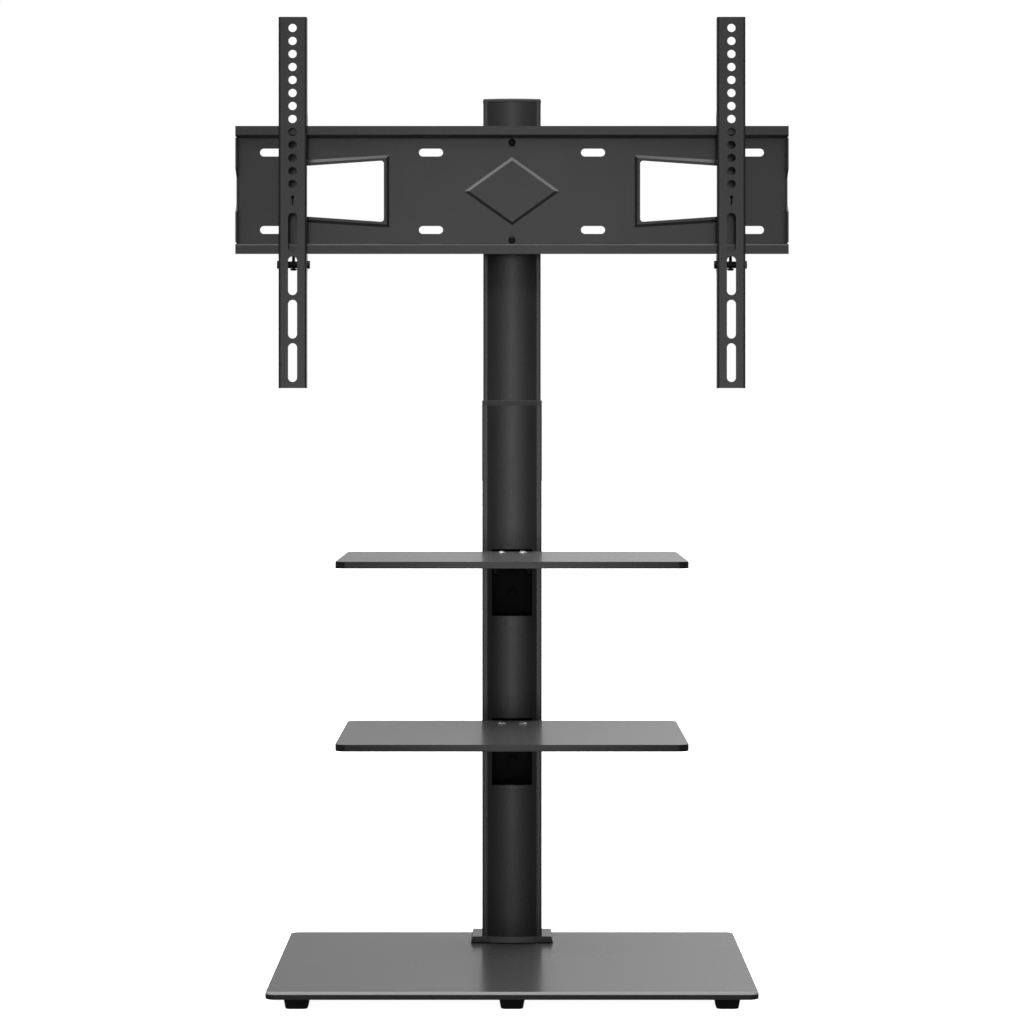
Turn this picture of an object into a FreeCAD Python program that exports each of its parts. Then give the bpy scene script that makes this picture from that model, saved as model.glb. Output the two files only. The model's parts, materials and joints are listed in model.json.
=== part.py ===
import FreeCAD, Part
import math
import os
from types import SimpleNamespace
import Sketcher

# Floor stand for a flat screen: a glass base on rubber feet, a telescoping column,
# two glass shelves, and a wide steel plate that carries two sliding arms.
# Millimetres, +Z up, front towards -Y, origin on the floor under the middle of the base.

SIZES = {
    # Base glass, feet and the clamp under the glass
    "base_width": 530,
    "base_depth": 360,
    "base_thick": 8.4,
    "base_corner": 10,
    "base_arris": 1,
    "foot_height": 11.6,
    "foot_top": 28,
    "foot_tip": 24,
    "foot_round": 5,
    "foot_side_inset": 33.5,
    "foot_edge_inset": 20,
    "clamp_width": 76,
    "clamp_depth": 40,
    "clamp_forward": 6,
    "clamp_thick": 3,
    "clamp_pad": 1,
    "base_bolt": 8,
    "base_bolt_flats": 13,
    "base_bolt_head": 5,
    "base_bolt_bite": 16,
    "base_bolt_half_x": 22,
    "base_bolt_half_y": 10,
    "bolt_slack": 0.4,
    # Column section, its foot and its height
    "column_setback": 72,
    "column_width": 70,
    "column_depth": 44,
    "crown_width": 58,
    "crown_rise": 4,
    "column_wall": 1,
    "column_gap": 0.3,
    "column_round": 1.5,
    "gasket_thick": 1,
    "flange_thick": 7,
    "flange_side": 13,
    "flange_front": 2.5,
    "flange_rear": 8,
    "flange_draft": 2,
    "spigot_height": 24,
    "fit_gap": 0.1,
    "foot_screw": 5,
    "foot_screw_head": 9,
    "foot_screw_rise": 2.5,
    "foot_screw_bite": 8,
    "foot_screw_half": 20,
    "lower_length": 622,
    "collar_height": 6,
    "collar_gap": 0.25,
    "collar_round": 0.7,
    "upper_length": 501,
    "upper_overlap": 145,
    "glide_rim": 5,
    "glide_gap": 0.25,
    "cap_rim": 4,
    "cap_proud": 0.3,
    "cap_round": 2.5,
    "plug_depth": 14,
    "plug_wall": 2,
    # Cable ports in the column
    "opening_width": 47,
    "opening_above": 2.8,
    "opening_below": 75.5,
    "port_width": 34,
    "port_length": 70,
    "upper_port_drop": 224,
    "lower_port_rise": 85,
    # Height lock on the back of the lower column
    "lock_drop": 28,
    "lock_shank": 8,
    "lock_boss": 18,
    "lock_boss_height": 6,
    "lock_fit": 0.06,
    "lock_tip_gap": 0.1,
    "knob_gap": 1,
    "knob_width": 34,
    "knob_thick": 12,
    "knob_round": 2,
    "knob_scallop": 9,
    "knob_scallop_depth": 2.5,
    # Shelves and their brackets
    "shelf_width": 384,
    "shelf_depth": 255,
    "shelf_thick": 7.5,
    "shelf_corner": 12,
    "shelf_arris": 0.5,
    "shelf_gap": 1,
    "lower_shelf_rise": 261,
    "upper_shelf_drop": 171,
    "bracket_width": 42,
    "bracket_thick": 3,
    "bracket_reach": 90,
    "bracket_drop": 54,
    "bracket_front_lip": 8,
    "bracket_rear_lip": 22,
    "shelf_pad": 1.5,
    "shelf_pad_inset": 6,
    "shelf_screw": 6,
    "shelf_screw_head": 10,
    "shelf_screw_rise": 2.2,
    "shelf_screw_round": 1.8,
    "shelf_screw_half": 12,
    "shelf_screw_setback": 38,
    "nut_flats": 10,
    "nut_thick": 5,
    "thread_end": 2,
    "bracket_bolt": 6,
    "bracket_bolt_head": 12,
    "bracket_bolt_rise": 3.3,
    "bracket_bolt_upper": 18,
    "bracket_bolt_lower": 42,
    # Saddle that grips the upper column
    "mount_reach": 26,
    "saddle_thick": 3,
    "saddle_height": 136,
    "saddle_gap": 0.2,
    "saddle_grip": 34,
    "saddle_bend": 4,
    "cross_bolt": 8,
    "cross_bolt_flats": 13,
    "cross_bolt_head": 5.3,
    "cross_bolt_setback": 20,
    "cross_bolt_half": 40,
    "cross_nut_thick": 6.5,
    # Mount plate
    "plate_width": 640,
    "plate_height": 148,
    "plate_drop": 107,
    "channel_height": 128,
    "channel_depth": 20,
    "sheet": 2,
    "sheet_bend": 0.5,
    "end_wall_relief": 1.5,
    "end_notch_depth": 14,
    "end_notch_low": 32,
    "end_notch_high": 50,
    "plate_slot_length": 28,
    "plate_slot_width": 9.2,
    "slot_row": 90,
    "inner_slot_x": 94.2,
    "outer_slot_x": 279,
    "window_inner": 149,
    "window_outer": 244,
    "window_tall": 71.5,
    "window_short": 58.3,
    "rim_width": 6.4,
    "rim_slope": 3.3,
    "window_round": 3.5,
    "emboss_rise": 1.2,
    "diamond_width": 111,
    "diamond_height": 79.4,
    "diamond_slope_x": 5.6,
    "diamond_slope_z": 3.9,
    "plate_bolt": 6,
    "plate_bolt_head": 8.6,
    "plate_bolt_rise": 3,
    "plate_bolt_round": 1.2,
    "plate_bolt_half": 56.6,
    "adjust_slot": 12,
    # Hanging arms
    "arm_offset": 253,
    "arm_width": 32.6,
    "arm_length": 428,
    "arm_above": 198.7,
    "arm_depth": 14,
    "arm_stand_off": 10,
    "arm_bend": 2.6,
    "hook_gap": 0.3,
    "hook_reach": 7.7,
    "hook_grip": 7.5,
    "hook_height": 12,
    "arm_taper": 6,
    "arm_hole": 9.6,
    "arm_hole_pitch": 15,
    "arm_hole_edge": 12.7,
    "arm_slot_length": 44.6,
    "arm_slot_width": 10.4,
    "arm_slot_pitch": 50.1,
    "arm_slot_edge": 7.1,
    "key_head": 4,
    "key_tail": 2,
    "key_length": 11,
    "key_drop": 206,
    # Cross pin and safety screw on each arm
    "pin_shank": 8,
    "pin_head": 9.2,
    "pin_head_width": 2.6,
    "pin_fit": 0.05,
    "pin_drop": 12.3,
    "ear_margin": 5.6,
    "safety_shank": 4,
    "safety_gap": 1.3,
    "safety_grip": 7,
    "safety_head": 8,
    "safety_head_rise": 2.8,
    "safety_head_gap": 0.4,
}

ARM_HOLES = 13
ARM_SLOTS = 4
KNOB_LOBES = 6
ROOT_THREE = math.sqrt(3)
SIDES = {"left": -1, "right": 1}


class Size:
    """A length that keeps its number together with the sheet expression that drives it."""

    def __init__(self, value, text):
        self.value = value
        self.text = text

    def __add__(self, other):
        other = as_size(other)
        return Size(self.value + other.value, f"({self.text} + {other.text})")

    def __sub__(self, other):
        other = as_size(other)
        return Size(self.value - other.value, f"({self.text} - {other.text})")

    def __mul__(self, other):
        other = as_size(other)
        return Size(self.value * other.value, f"({self.text} * {other.text})")

    def __truediv__(self, other):
        other = as_size(other)
        return Size(self.value / other.value, f"({self.text} / {other.text})")

    def __radd__(self, other):
        return as_size(other) + self

    def __rsub__(self, other):
        return as_size(other) - self

    def __rmul__(self, other):
        return as_size(other) * self

    def __neg__(self):
        return Size(-self.value, f"(0 - {self.text})")

    def root(self):
        return Size(math.sqrt(self.value), f"sqrt({self.text})")


def as_size(item):
    """A plain number as a Size, and a Size as it is."""
    if isinstance(item, Size):
        return item
    return Size(float(item), f"({float(item):.10g})")


def make_sheet(document):
    """Spreadsheet of driving dimensions, one row each, with the name as the alias."""
    sheet = document.addObject("Spreadsheet::Sheet", "Sizes")
    for row, (name, value) in enumerate(SIZES.items(), start=1):
        sheet.set(f"A{row}", name)
        sheet.set(f"B{row}", str(value))
        sheet.setAlias(f"B{row}", name)
    document.recompute()
    return SimpleNamespace(**{name: Size(value, f"Sizes.{name}") for name, value in SIZES.items()})


doc = FreeCAD.newDocument("ScreenStand")
S = make_sheet(doc)
PIECES = []


# Bodies, sketches and features

def new_body(label, x=0, y=0, z=0):
    """Body of one sub-part, placed in the stand's frame."""
    body = doc.addObject("PartDesign::Body", label)
    body.Label = label
    body.AllowCompound = True
    for axis, size in zip("xyz", (x, y, z)):
        body.setExpression(f"Placement.Base.{axis}", as_size(size).text)
    PIECES.append(body)
    return body


def new_sketch(body, plane, lift=0):
    """Sketch on one of the body's origin planes, moved along the plane's normal by lift."""
    sketch = body.newObject("Sketcher::SketchObject", f"{body.Label}_sketch")
    role = f"{plane}_Plane"
    origin_plane = next(item for item in body.Origin.OriginFeatures if item.Role == role)
    sketch.AttachmentSupport = [(origin_plane, "")]
    sketch.MapMode = "FlatFace"
    sketch.setExpression("AttachmentOffset.Base.z", as_size(lift).text)
    return sketch


def hold(sketch, kind, first, second, size):
    """Driving constraint whose value follows the sheet."""
    index = sketch.addConstraint(Sketcher.Constraint(kind, *first, *second, as_size(size).value))
    sketch.setExpression(f"Constraints[{index}]", as_size(size).text)


def place(sketch, geometry, point, x, y):
    """Hold one point of a sketch at x, y from the sketch origin."""
    hold(sketch, "DistanceX", (-1, 1), (geometry, point), x)
    hold(sketch, "DistanceY", (-1, 1), (geometry, point), y)


def spot(x, y):
    return FreeCAD.Vector(as_size(x).value, as_size(y).value, 0)


def join(sketch, first, first_end, second, second_end):
    sketch.addConstraint(Sketcher.Constraint("Coincident", first, first_end, second, second_end))


def chain(sketch, corners):
    """Straight lines through the corners in order, each corner held in place; gives the line numbers."""
    lines = []
    for start, end in zip(corners, corners[1:]):
        lines.append(sketch.addGeometry(Part.LineSegment(spot(*start), spot(*end))))
    for before, after in zip(lines, lines[1:]):
        join(sketch, before, 2, after, 1)
    for line, corner in zip(lines, corners):
        place(sketch, line, 1, *corner)
    return lines


def outline(sketch, corners):
    """Closed straight-sided outline through the corners."""
    lines = chain(sketch, corners + corners[:1])
    join(sketch, lines[-1], 2, lines[0], 1)


def rectangle(sketch, left, right, bottom, top):
    outline(sketch, [(left, bottom), (right, bottom), (right, top), (left, top)])


def arc_between(sketch, start, middle, end, line_before, line_after):
    """Anticlockwise arc from the end of one line to the start of another; gives the arc's number."""
    arc = sketch.addGeometry(Part.ArcOfCircle(spot(*start), spot(*middle), spot(*end)))
    join(sketch, line_before, 2, arc, 1)
    join(sketch, arc, 2, line_after, 1)
    return arc


def slot(sketch, x, y, length, width, upright=False):
    """Round-ended slot centred at x, y."""
    run = (length - width) / 2
    half = width / 2
    if upright:
        sides = [[(x + half, y - run), (x + half, y + run)], [(x - half, y + run), (x - half, y - run)]]
        ends = [(x, y + run + half), (x, y - run - half)]
    else:
        sides = [[(x - run, y - half), (x + run, y - half)], [(x + run, y + half), (x - run, y + half)]]
        ends = [(x + run + half, y), (x - run - half, y)]
    lines = []
    for start, end in sides:
        line = sketch.addGeometry(Part.LineSegment(spot(*start), spot(*end)))
        place(sketch, line, 1, *start)
        place(sketch, line, 2, *end)
        lines.append(line)
    for turn, end in enumerate(ends):
        arc = arc_between(sketch, sides[turn][1], end, sides[1 - turn][0], lines[turn], lines[1 - turn])
        offset = run if turn == 0 else -run
        if upright:
            hold(sketch, "DistanceY", (-1, 1), (arc, 3), y + offset)
        else:
            hold(sketch, "DistanceX", (-1, 1), (arc, 3), x + offset)


def rounded_square(sketch, half, corner):
    """Square centred on the sketch origin, with round corners."""
    flat = half - corner
    bulge = flat + corner / math.sqrt(2)
    sides = [[(-flat, -half), (flat, -half)], [(half, -flat), (half, flat)],
             [(flat, half), (-flat, half)], [(-half, flat), (-half, -flat)]]
    middles = [(bulge, -bulge), (bulge, bulge), (-bulge, bulge), (-bulge, -bulge)]
    lines = []
    for start, end in sides:
        line = sketch.addGeometry(Part.LineSegment(spot(*start), spot(*end)))
        place(sketch, line, 1, *start)
        place(sketch, line, 2, *end)
        lines.append(line)
    for turn, middle in enumerate(middles):
        after = (turn + 1) % len(lines)
        arc = arc_between(sketch, sides[turn][1], middle, sides[after][0], lines[turn], lines[after])
        hold(sketch, "DistanceX", (-1, 1), (arc, 3), flat if turn in (0, 1) else -flat)


def disc(sketch, x, y, diameter):
    circle = Part.Circle(spot(x, y), FreeCAD.Vector(0, 0, 1), as_size(diameter).value / 2)
    index = sketch.addGeometry(circle)
    place(sketch, index, 3, x, y)
    hold(sketch, "Diameter", (index,), (), diameter)


def hexagon(sketch, x, y, flats):
    """Hexagon with two upright flats."""
    half = flats / 2
    tip = flats / ROOT_THREE
    corners = [(half, -tip / 2), (half, tip / 2), (0, tip), (-half, tip / 2), (-half, -tip / 2), (0, -tip)]
    outline(sketch, [(x + across, y + up) for across, up in corners])


def crowned(sketch, half, front, rear, radius):
    """Column outline: flat sides, back and front strips, with the front middle bulging out as an arc."""
    reach = (radius * radius - (CROWN_CENTRE - front) * (CROWN_CENTRE - front)).root()
    corners = [(reach, front), (half, front), (half, rear), (-half, rear), (-half, front), (-reach, front)]
    lines = chain(sketch, corners)
    place(sketch, lines[-1], 2, *corners[-1])
    apex = (0, CROWN_CENTRE - radius)
    arc = arc_between(sketch, corners[-1], apex, corners[0], lines[-1], lines[0])
    hold(sketch, "DistanceY", (-1, 1), (arc, 3), CROWN_CENTRE)


def column_outline(sketch, inset):
    """Outline of the column drawn in from the lower column's outer face by inset."""
    crowned(sketch, S.column_width / 2 - inset, as_size(inset), S.column_depth - inset, CROWN_RADIUS - inset)


def finish(body, feature, profile):
    feature.Profile = profile
    profile.Visibility = False
    body.Tip = feature
    return feature


def pad(body, sketch, length, reverse=False, both=False):
    feature = body.newObject("PartDesign::Pad", f"{body.Label}_pad")
    finish(body, feature, sketch)
    feature.setExpression("Length", as_size(length).text)
    feature.Reversed = reverse
    feature.SideType = "Symmetric" if both else "One side"
    return feature


def pocket(body, sketch, length=None, reverse=False):
    """Cut of the given length, or right through both ways when no length is given."""
    doc.recompute()
    before = body.Shape.Volume
    feature = body.newObject("PartDesign::Pocket", f"{body.Label}_cut")
    finish(body, feature, sketch)
    if length is None:
        feature.Type = "ThroughAll"
        feature.SideType = "Symmetric"
    else:
        feature.setExpression("Length", as_size(length).text)
        feature.Reversed = reverse
    doc.recompute()
    if not feature.Shape.Volume < before:
        raise RuntimeError(f"{feature.Label} cuts nothing")
    return feature


def loft(body, first, second, cut=False):
    kind = "PartDesign::SubtractiveLoft" if cut else "PartDesign::AdditiveLoft"
    feature = body.newObject(kind, f"{body.Label}_loft")
    finish(body, feature, first)
    feature.Sections = [second]
    feature.Ruled = True
    return feature


def edge_names(body, wanted):
    """Names of the tip's edges for which wanted(first end, last end) is true."""
    doc.recompute()
    names = []
    for number, edge in enumerate(body.Tip.Shape.Edges, start=1):
        first = edge.valueAt(edge.FirstParameter)
        last = edge.valueAt(edge.LastParameter)
        if wanted(first, last):
            names.append(f"Edge{number}")
    return names


def soften(body, names, size, chamfer=False):
    """Fillet or chamfer the named edges of the body's tip."""
    kind = "PartDesign::Chamfer" if chamfer else "PartDesign::Fillet"
    base = body.Tip
    feature = body.newObject(kind, f"{body.Label}_edge")
    feature.Base = (base, names)
    feature.setExpression("Size" if chamfer else "Radius", as_size(size).text)
    body.Tip = feature
    return feature


def near(value, size):
    return abs(value - as_size(size).value) < 1e-3


def upright_edges(body, xs, ys):
    """Vertical edges that stand at one of the given x and one of the given y values."""
    def wanted(first, last):
        vertical = near(first.x, last.x) and near(first.y, last.y) and abs(first.z - last.z) > 1e-3
        return vertical and any(near(first.x, x) for x in xs) and any(near(first.y, y) for y in ys)
    return edge_names(body, wanted)


def level_edges(body, heights):
    """Edges that lie level at one of the given heights."""
    def wanted(first, last):
        return any(near(first.z, height) and near(last.z, height) for height in heights)
    return edge_names(body, wanted)


def edges_at_y(body, depth):
    """Edges that lie in the upright plane y = depth."""
    def wanted(first, last):
        return near(first.y, depth) and near(last.y, depth)
    return edge_names(body, wanted)


def edges_along_y(body, corners):
    """Edges that run straight back along y at one of the given x, z corners."""
    def at(point, corner):
        return near(point.x, corner[0]) and near(point.z, corner[1])

    def wanted(first, last):
        return any(at(first, corner) and at(last, corner) for corner in corners)
    return edge_names(body, wanted)


# Places that several pieces share

BASE_TOP = S.foot_height + S.base_thick
CLAMP_MIDDLE = S.column_depth / 2 - S.clamp_forward
COLUMN_Y = S.base_depth / 2 - S.column_setback
CROWN_HALF = S.crown_width / 2
CROWN_RADIUS = (CROWN_HALF * CROWN_HALF + S.crown_rise * S.crown_rise) / (S.crown_rise * 2)
CROWN_CENTRE = CROWN_RADIUS - S.crown_rise
FLANGE_BOTTOM = BASE_TOP + S.gasket_thick
LOWER_BOTTOM = FLANGE_BOTTOM + S.flange_thick
LOWER_TOP = LOWER_BOTTOM + S.lower_length
UPPER_BOTTOM = LOWER_TOP - S.upper_overlap
UPPER_TOP = UPPER_BOTTOM + S.upper_length
UPPER_INSET = S.column_wall + S.column_gap
UPPER_INSIDE = UPPER_INSET + S.column_wall
COLUMN_BACK = S.column_depth
BACK_INSIDE = S.column_depth - S.column_wall
SHELF_HEIGHTS = {"lower": BASE_TOP + S.lower_shelf_rise, "upper": LOWER_TOP - S.upper_shelf_drop}
BRACKET_TOP = -S.shelf_pad
BRACKET_BOLTS = [BRACKET_TOP - S.bracket_bolt_upper, BRACKET_TOP - S.bracket_bolt_lower]
PLATE_CENTRE = UPPER_TOP - S.plate_drop
PLATE_BACK = COLUMN_Y - S.mount_reach
WEB_FRONT = PLATE_BACK - S.sheet
LIP_FRONT = PLATE_BACK - S.channel_depth
LIP_BACK = LIP_FRONT + S.sheet
SADDLE_BACK = PLATE_BACK + S.saddle_thick
SADDLE_INSIDE = S.column_width / 2 - UPPER_INSET + S.saddle_gap
SADDLE_OUTSIDE = SADDLE_INSIDE + S.saddle_thick
CROSS_Y = COLUMN_Y + S.cross_bolt_setback
ARM_FRONT = LIP_FRONT - S.arm_stand_off
PIN_Y = LIP_BACK + S.safety_gap + S.safety_shank / 2
PIN_Z = -S.plate_height / 2 - S.pin_drop


# Base glass, its feet and the clamp that holds the column to it

def base_bolt_spots():
    """Centres of the four base bolts, from the column's front face."""
    middle = CLAMP_MIDDLE
    spots = []
    for x in (-S.base_bolt_half_x, S.base_bolt_half_x):
        for y in (middle - S.base_bolt_half_y, middle + S.base_bolt_half_y):
            spots.append((x, y))
    return spots


def drill_base_bolts(body, y_shift, slack):
    """Bolt holes through a level piece whose own origin lies y_shift in front of the column."""
    sketch = new_sketch(body, "XY")
    for x, y in base_bolt_spots():
        disc(sketch, x, y + y_shift, S.base_bolt + slack)
    pocket(body, sketch)


def glass_panel(body, left, right, front, back, thick, corner, arris):
    """Glass panel with rounded corners and ground edges."""
    sketch = new_sketch(body, "XY")
    rectangle(sketch, left, right, front, back)
    pad(body, sketch, thick)
    soften(body, upright_edges(body, (left, right), (front, back)), corner)
    soften(body, level_edges(body, (0, thick)), arris, chamfer=True)


def make_base_glass():
    body = new_body("base_glass", z=S.foot_height)
    half_x = S.base_width / 2
    half_y = S.base_depth / 2
    glass_panel(body, -half_x, half_x, -half_y, half_y, S.base_thick, S.base_corner, S.base_arris)
    drill_base_bolts(body, COLUMN_Y, S.bolt_slack)


def make_feet():
    """Six tapered rubber feet, three along the front edge and three along the back."""
    far = S.base_width / 2 - S.foot_side_inset
    edge = S.base_depth / 2 - S.foot_edge_inset
    for row, y in (("front", -edge), ("rear", edge)):
        for column, x in (("left", -far), ("middle", 0), ("right", far)):
            body = new_body(f"foot_{row}_{column}", x, y)
            tip = new_sketch(body, "XY")
            rounded_square(tip, S.foot_tip / 2, S.foot_round)
            top = new_sketch(body, "XY", S.foot_height)
            rounded_square(top, S.foot_top / 2, S.foot_round)
            loft(body, tip, top)


def make_base_clamp():
    """Steel plate and rubber pad under the glass, and the four bolts that go up into the column foot."""
    middle = CLAMP_MIDDLE
    under_pad = S.foot_height - S.clamp_pad
    under_plate = under_pad - S.clamp_thick
    for label, bottom, thick in (("base_clamp_pad", under_pad, S.clamp_pad),
                                 ("base_clamp_plate", under_plate, S.clamp_thick)):
        body = new_body(label, y=COLUMN_Y, z=bottom)
        sketch = new_sketch(body, "XY")
        half = S.clamp_depth / 2
        rectangle(sketch, -S.clamp_width / 2, S.clamp_width / 2, middle - half, middle + half)
        pad(body, sketch, thick)
        drill_base_bolts(body, 0, S.bolt_slack)
    bolts = new_body("base_bolts", y=COLUMN_Y, z=under_plate)
    heads = new_sketch(bolts, "XY")
    shanks = new_sketch(bolts, "XY")
    for x, y in base_bolt_spots():
        hexagon(heads, x, y, S.base_bolt_flats)
        disc(shanks, x, y, S.base_bolt)
    pad(bolts, heads, S.base_bolt_head, reverse=True)
    pad(bolts, shanks, FLANGE_BOTTOM - under_plate + S.base_bolt_bite)


# Column foot and the two telescoping tubes

def foot_outline(sketch, inset):
    """Outline of the column foot, drawn in by inset at the sides, the rear and the front bulge."""
    half = S.column_width / 2 + S.flange_side - inset
    rear = S.column_depth + S.flange_rear - inset
    crowned(sketch, half, -S.flange_front, rear, CROWN_RADIUS + S.flange_front - inset)


def foot_screw_height():
    return LOWER_BOTTOM + S.spigot_height / 2


def make_column_foot():
    """Cast foot with drafted sides and a spigot that fills the end of the lower column."""
    gasket = new_body("foot_gasket", y=COLUMN_Y, z=BASE_TOP)
    sketch = new_sketch(gasket, "XY")
    foot_outline(sketch, as_size(0))
    pad(gasket, sketch, S.gasket_thick)
    drill_base_bolts(gasket, 0, S.bolt_slack)

    foot = new_body("column_foot", y=COLUMN_Y, z=FLANGE_BOTTOM)
    bottom = new_sketch(foot, "XY")
    foot_outline(bottom, as_size(0))
    top = new_sketch(foot, "XY", S.flange_thick)
    foot_outline(top, S.flange_draft)
    loft(foot, bottom, top)
    spigot = new_sketch(foot, "XY", S.flange_thick)
    column_outline(spigot, S.column_wall + S.fit_gap)
    pad(foot, spigot, S.spigot_height)
    holes = new_sketch(foot, "XY")
    for x, y in base_bolt_spots():
        disc(holes, x, y, S.base_bolt)
    pocket(foot, holes, S.base_bolt_bite, reverse=True)
    screws = new_sketch(foot, "XZ", -COLUMN_BACK)
    for x in (-S.foot_screw_half, S.foot_screw_half):
        disc(screws, x, foot_screw_height() - FLANGE_BOTTOM, S.foot_screw)
    pocket(foot, screws, S.column_wall + S.foot_screw_bite, reverse=True)


def button_screws(label, spots, shank, length, head, rise, soft):
    """Round-headed screws driven forward into the back of the column, their heads on its back face."""
    body = new_body(label, y=COLUMN_Y)
    heads = new_sketch(body, "XZ", -COLUMN_BACK)
    shanks = new_sketch(body, "XZ", -COLUMN_BACK)
    for x, z in spots:
        disc(heads, x, z, head)
        disc(shanks, x, z, shank)
    pad(body, heads, rise, reverse=True)
    soften(body, edges_at_y(body, COLUMN_BACK + rise), soft)
    pad(body, shanks, length)


def make_foot_screws():
    spots = [(x, foot_screw_height()) for x in (-S.foot_screw_half, S.foot_screw_half)]
    length = S.column_wall + S.foot_screw_bite
    button_screws("foot_screws", spots, S.foot_screw, length, S.foot_screw_head, S.foot_screw_rise,
                  S.foot_screw_rise / 2)


def hollow_column(body, inset, length):
    """Straight column tube, its corners slightly rounded."""
    sketch = new_sketch(body, "XY")
    column_outline(sketch, inset)
    column_outline(sketch, inset + S.column_wall)
    pad(body, sketch, length)
    half = S.column_width / 2 - inset
    corners = upright_edges(body, (-half, half), (as_size(inset), S.column_depth - inset))
    soften(body, corners, S.column_round)


def make_lower_column():
    body = new_body("lower_column", y=COLUMN_Y, z=LOWER_BOTTOM)
    hollow_column(body, as_size(0), S.lower_length)
    windows = new_sketch(body, "XZ", -S.column_depth / 2)
    half = S.opening_width / 2
    for height in SHELF_HEIGHTS.values():
        top = height + S.opening_above - LOWER_BOTTOM
        bottom = height - S.opening_below - LOWER_BOTTOM
        rectangle(windows, -half, half, bottom, top)
    pocket(body, windows, S.column_depth / 2 + S.crown_rise * 2, reverse=True)
    holes = new_sketch(body, "XZ", -S.column_depth / 2)
    for height in SHELF_HEIGHTS.values():
        for drop in BRACKET_BOLTS:
            disc(holes, 0, height - S.shelf_thick + drop - LOWER_BOTTOM, S.bracket_bolt + S.bolt_slack)
    for x in (-S.foot_screw_half, S.foot_screw_half):
        disc(holes, x, foot_screw_height() - LOWER_BOTTOM, S.foot_screw + S.bolt_slack)
    disc(holes, 0, S.lower_length - S.lock_drop, S.lock_shank + S.bolt_slack)
    port_height = BASE_TOP + S.lower_port_rise - LOWER_BOTTOM
    slot(holes, as_size(0), port_height, S.port_length, S.port_width, upright=True)
    pocket(body, holes, S.column_depth)


def make_column_collar():
    """Plastic collar that trims the mouth of the lower column and guides the upper one."""
    body = new_body("column_collar", y=COLUMN_Y, z=LOWER_TOP)
    sketch = new_sketch(body, "XY")
    column_outline(sketch, as_size(0))
    pad(body, sketch, S.collar_height)
    soften(body, level_edges(body, (S.collar_height,)), S.collar_round)
    bore = new_sketch(body, "XY")
    column_outline(bore, UPPER_INSET - S.collar_gap)
    pocket(body, bore)


def make_upper_column():
    body = new_body("upper_column", y=COLUMN_Y, z=UPPER_BOTTOM)
    hollow_column(body, UPPER_INSET, S.upper_length)
    across = new_sketch(body, "YZ")
    for height in cross_bolt_heights():
        disc(across, S.cross_bolt_setback, height - UPPER_BOTTOM, S.cross_bolt + S.bolt_slack)
    pocket(body, across)
    port = new_sketch(body, "XZ", -S.column_depth / 2)
    slot(port, as_size(0), S.upper_length - S.upper_port_drop, S.port_length, S.port_width, upright=True)
    pocket(body, port, S.column_depth)


def make_column_plugs():
    """Glide on the lower end of the upper column and the cap on its top, each with a hollow plug."""
    glide = new_body("column_glide", y=COLUMN_Y, z=UPPER_BOTTOM)
    rim = new_sketch(glide, "XY")
    column_outline(rim, S.column_wall + S.glide_gap)
    pad(glide, rim, S.glide_rim, reverse=True)
    plug = new_sketch(glide, "XY")
    column_outline(plug, UPPER_INSIDE + S.fit_gap)
    pad(glide, plug, S.plug_depth)
    bore = new_sketch(glide, "XY")
    column_outline(bore, UPPER_INSIDE + S.fit_gap + S.plug_wall)
    pocket(glide, bore)

    cap = new_body("column_cap", y=COLUMN_Y, z=UPPER_TOP)
    rim = new_sketch(cap, "XY")
    column_outline(rim, UPPER_INSET - S.cap_proud)
    pad(cap, rim, S.cap_rim)
    soften(cap, level_edges(cap, (S.cap_rim,)), S.cap_round)
    plug = new_sketch(cap, "XY")
    column_outline(plug, UPPER_INSIDE + S.fit_gap)
    pad(cap, plug, S.plug_depth, reverse=True)
    hollow = new_sketch(cap, "XY", -S.plug_depth)
    column_outline(hollow, UPPER_INSIDE + S.fit_gap + S.plug_wall)
    pocket(cap, hollow, S.plug_depth, reverse=True)


def make_height_lock():
    """Threaded boss on the back of the lower column and the lobed hand screw that clamps the upper one."""
    height = LOWER_TOP - S.lock_drop
    boss = new_body("lock_boss", y=COLUMN_Y, z=height)
    ring = new_sketch(boss, "XZ", -COLUMN_BACK)
    disc(ring, 0, 0, S.lock_boss)
    disc(ring, 0, 0, S.lock_shank + S.lock_fit * 2)
    pad(boss, ring, S.lock_boss_height, reverse=True)

    screw = new_body("lock_screw", y=COLUMN_Y, z=height)
    knob_front = COLUMN_BACK + S.lock_boss_height + S.knob_gap
    knob = new_sketch(screw, "XZ", -knob_front)
    disc(knob, 0, 0, S.knob_width)
    pad(screw, knob, S.knob_thick, reverse=True)
    soften(screw, edges_at_y(screw, knob_front + S.knob_thick), S.knob_round)
    lobes = new_sketch(screw, "XZ", -knob_front)
    centre = S.knob_width / 2 + S.knob_scallop / 2 - S.knob_scallop_depth
    for lobe in range(KNOB_LOBES):
        angle = 2 * math.pi * lobe / KNOB_LOBES
        disc(lobes, centre * math.sin(angle), centre * math.cos(angle), S.knob_scallop)
    pocket(screw, lobes)
    shank = new_sketch(screw, "XZ", -knob_front)
    disc(shank, 0, 0, S.lock_shank)
    tip = S.column_depth - UPPER_INSET + S.lock_tip_gap
    pad(screw, shank, knob_front - tip)


# Shelves and what holds them

def shelf_screw_spots():
    """Shelf screws, from the column's front face."""
    return [(-S.shelf_screw_half, -S.shelf_screw_setback), (S.shelf_screw_half, -S.shelf_screw_setback)]


def drill_shelf_screws(body, length=None):
    sketch = new_sketch(body, "XY")
    for x, y in shelf_screw_spots():
        disc(sketch, x, y, S.shelf_screw + S.bolt_slack)
    pocket(body, sketch, length)


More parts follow.
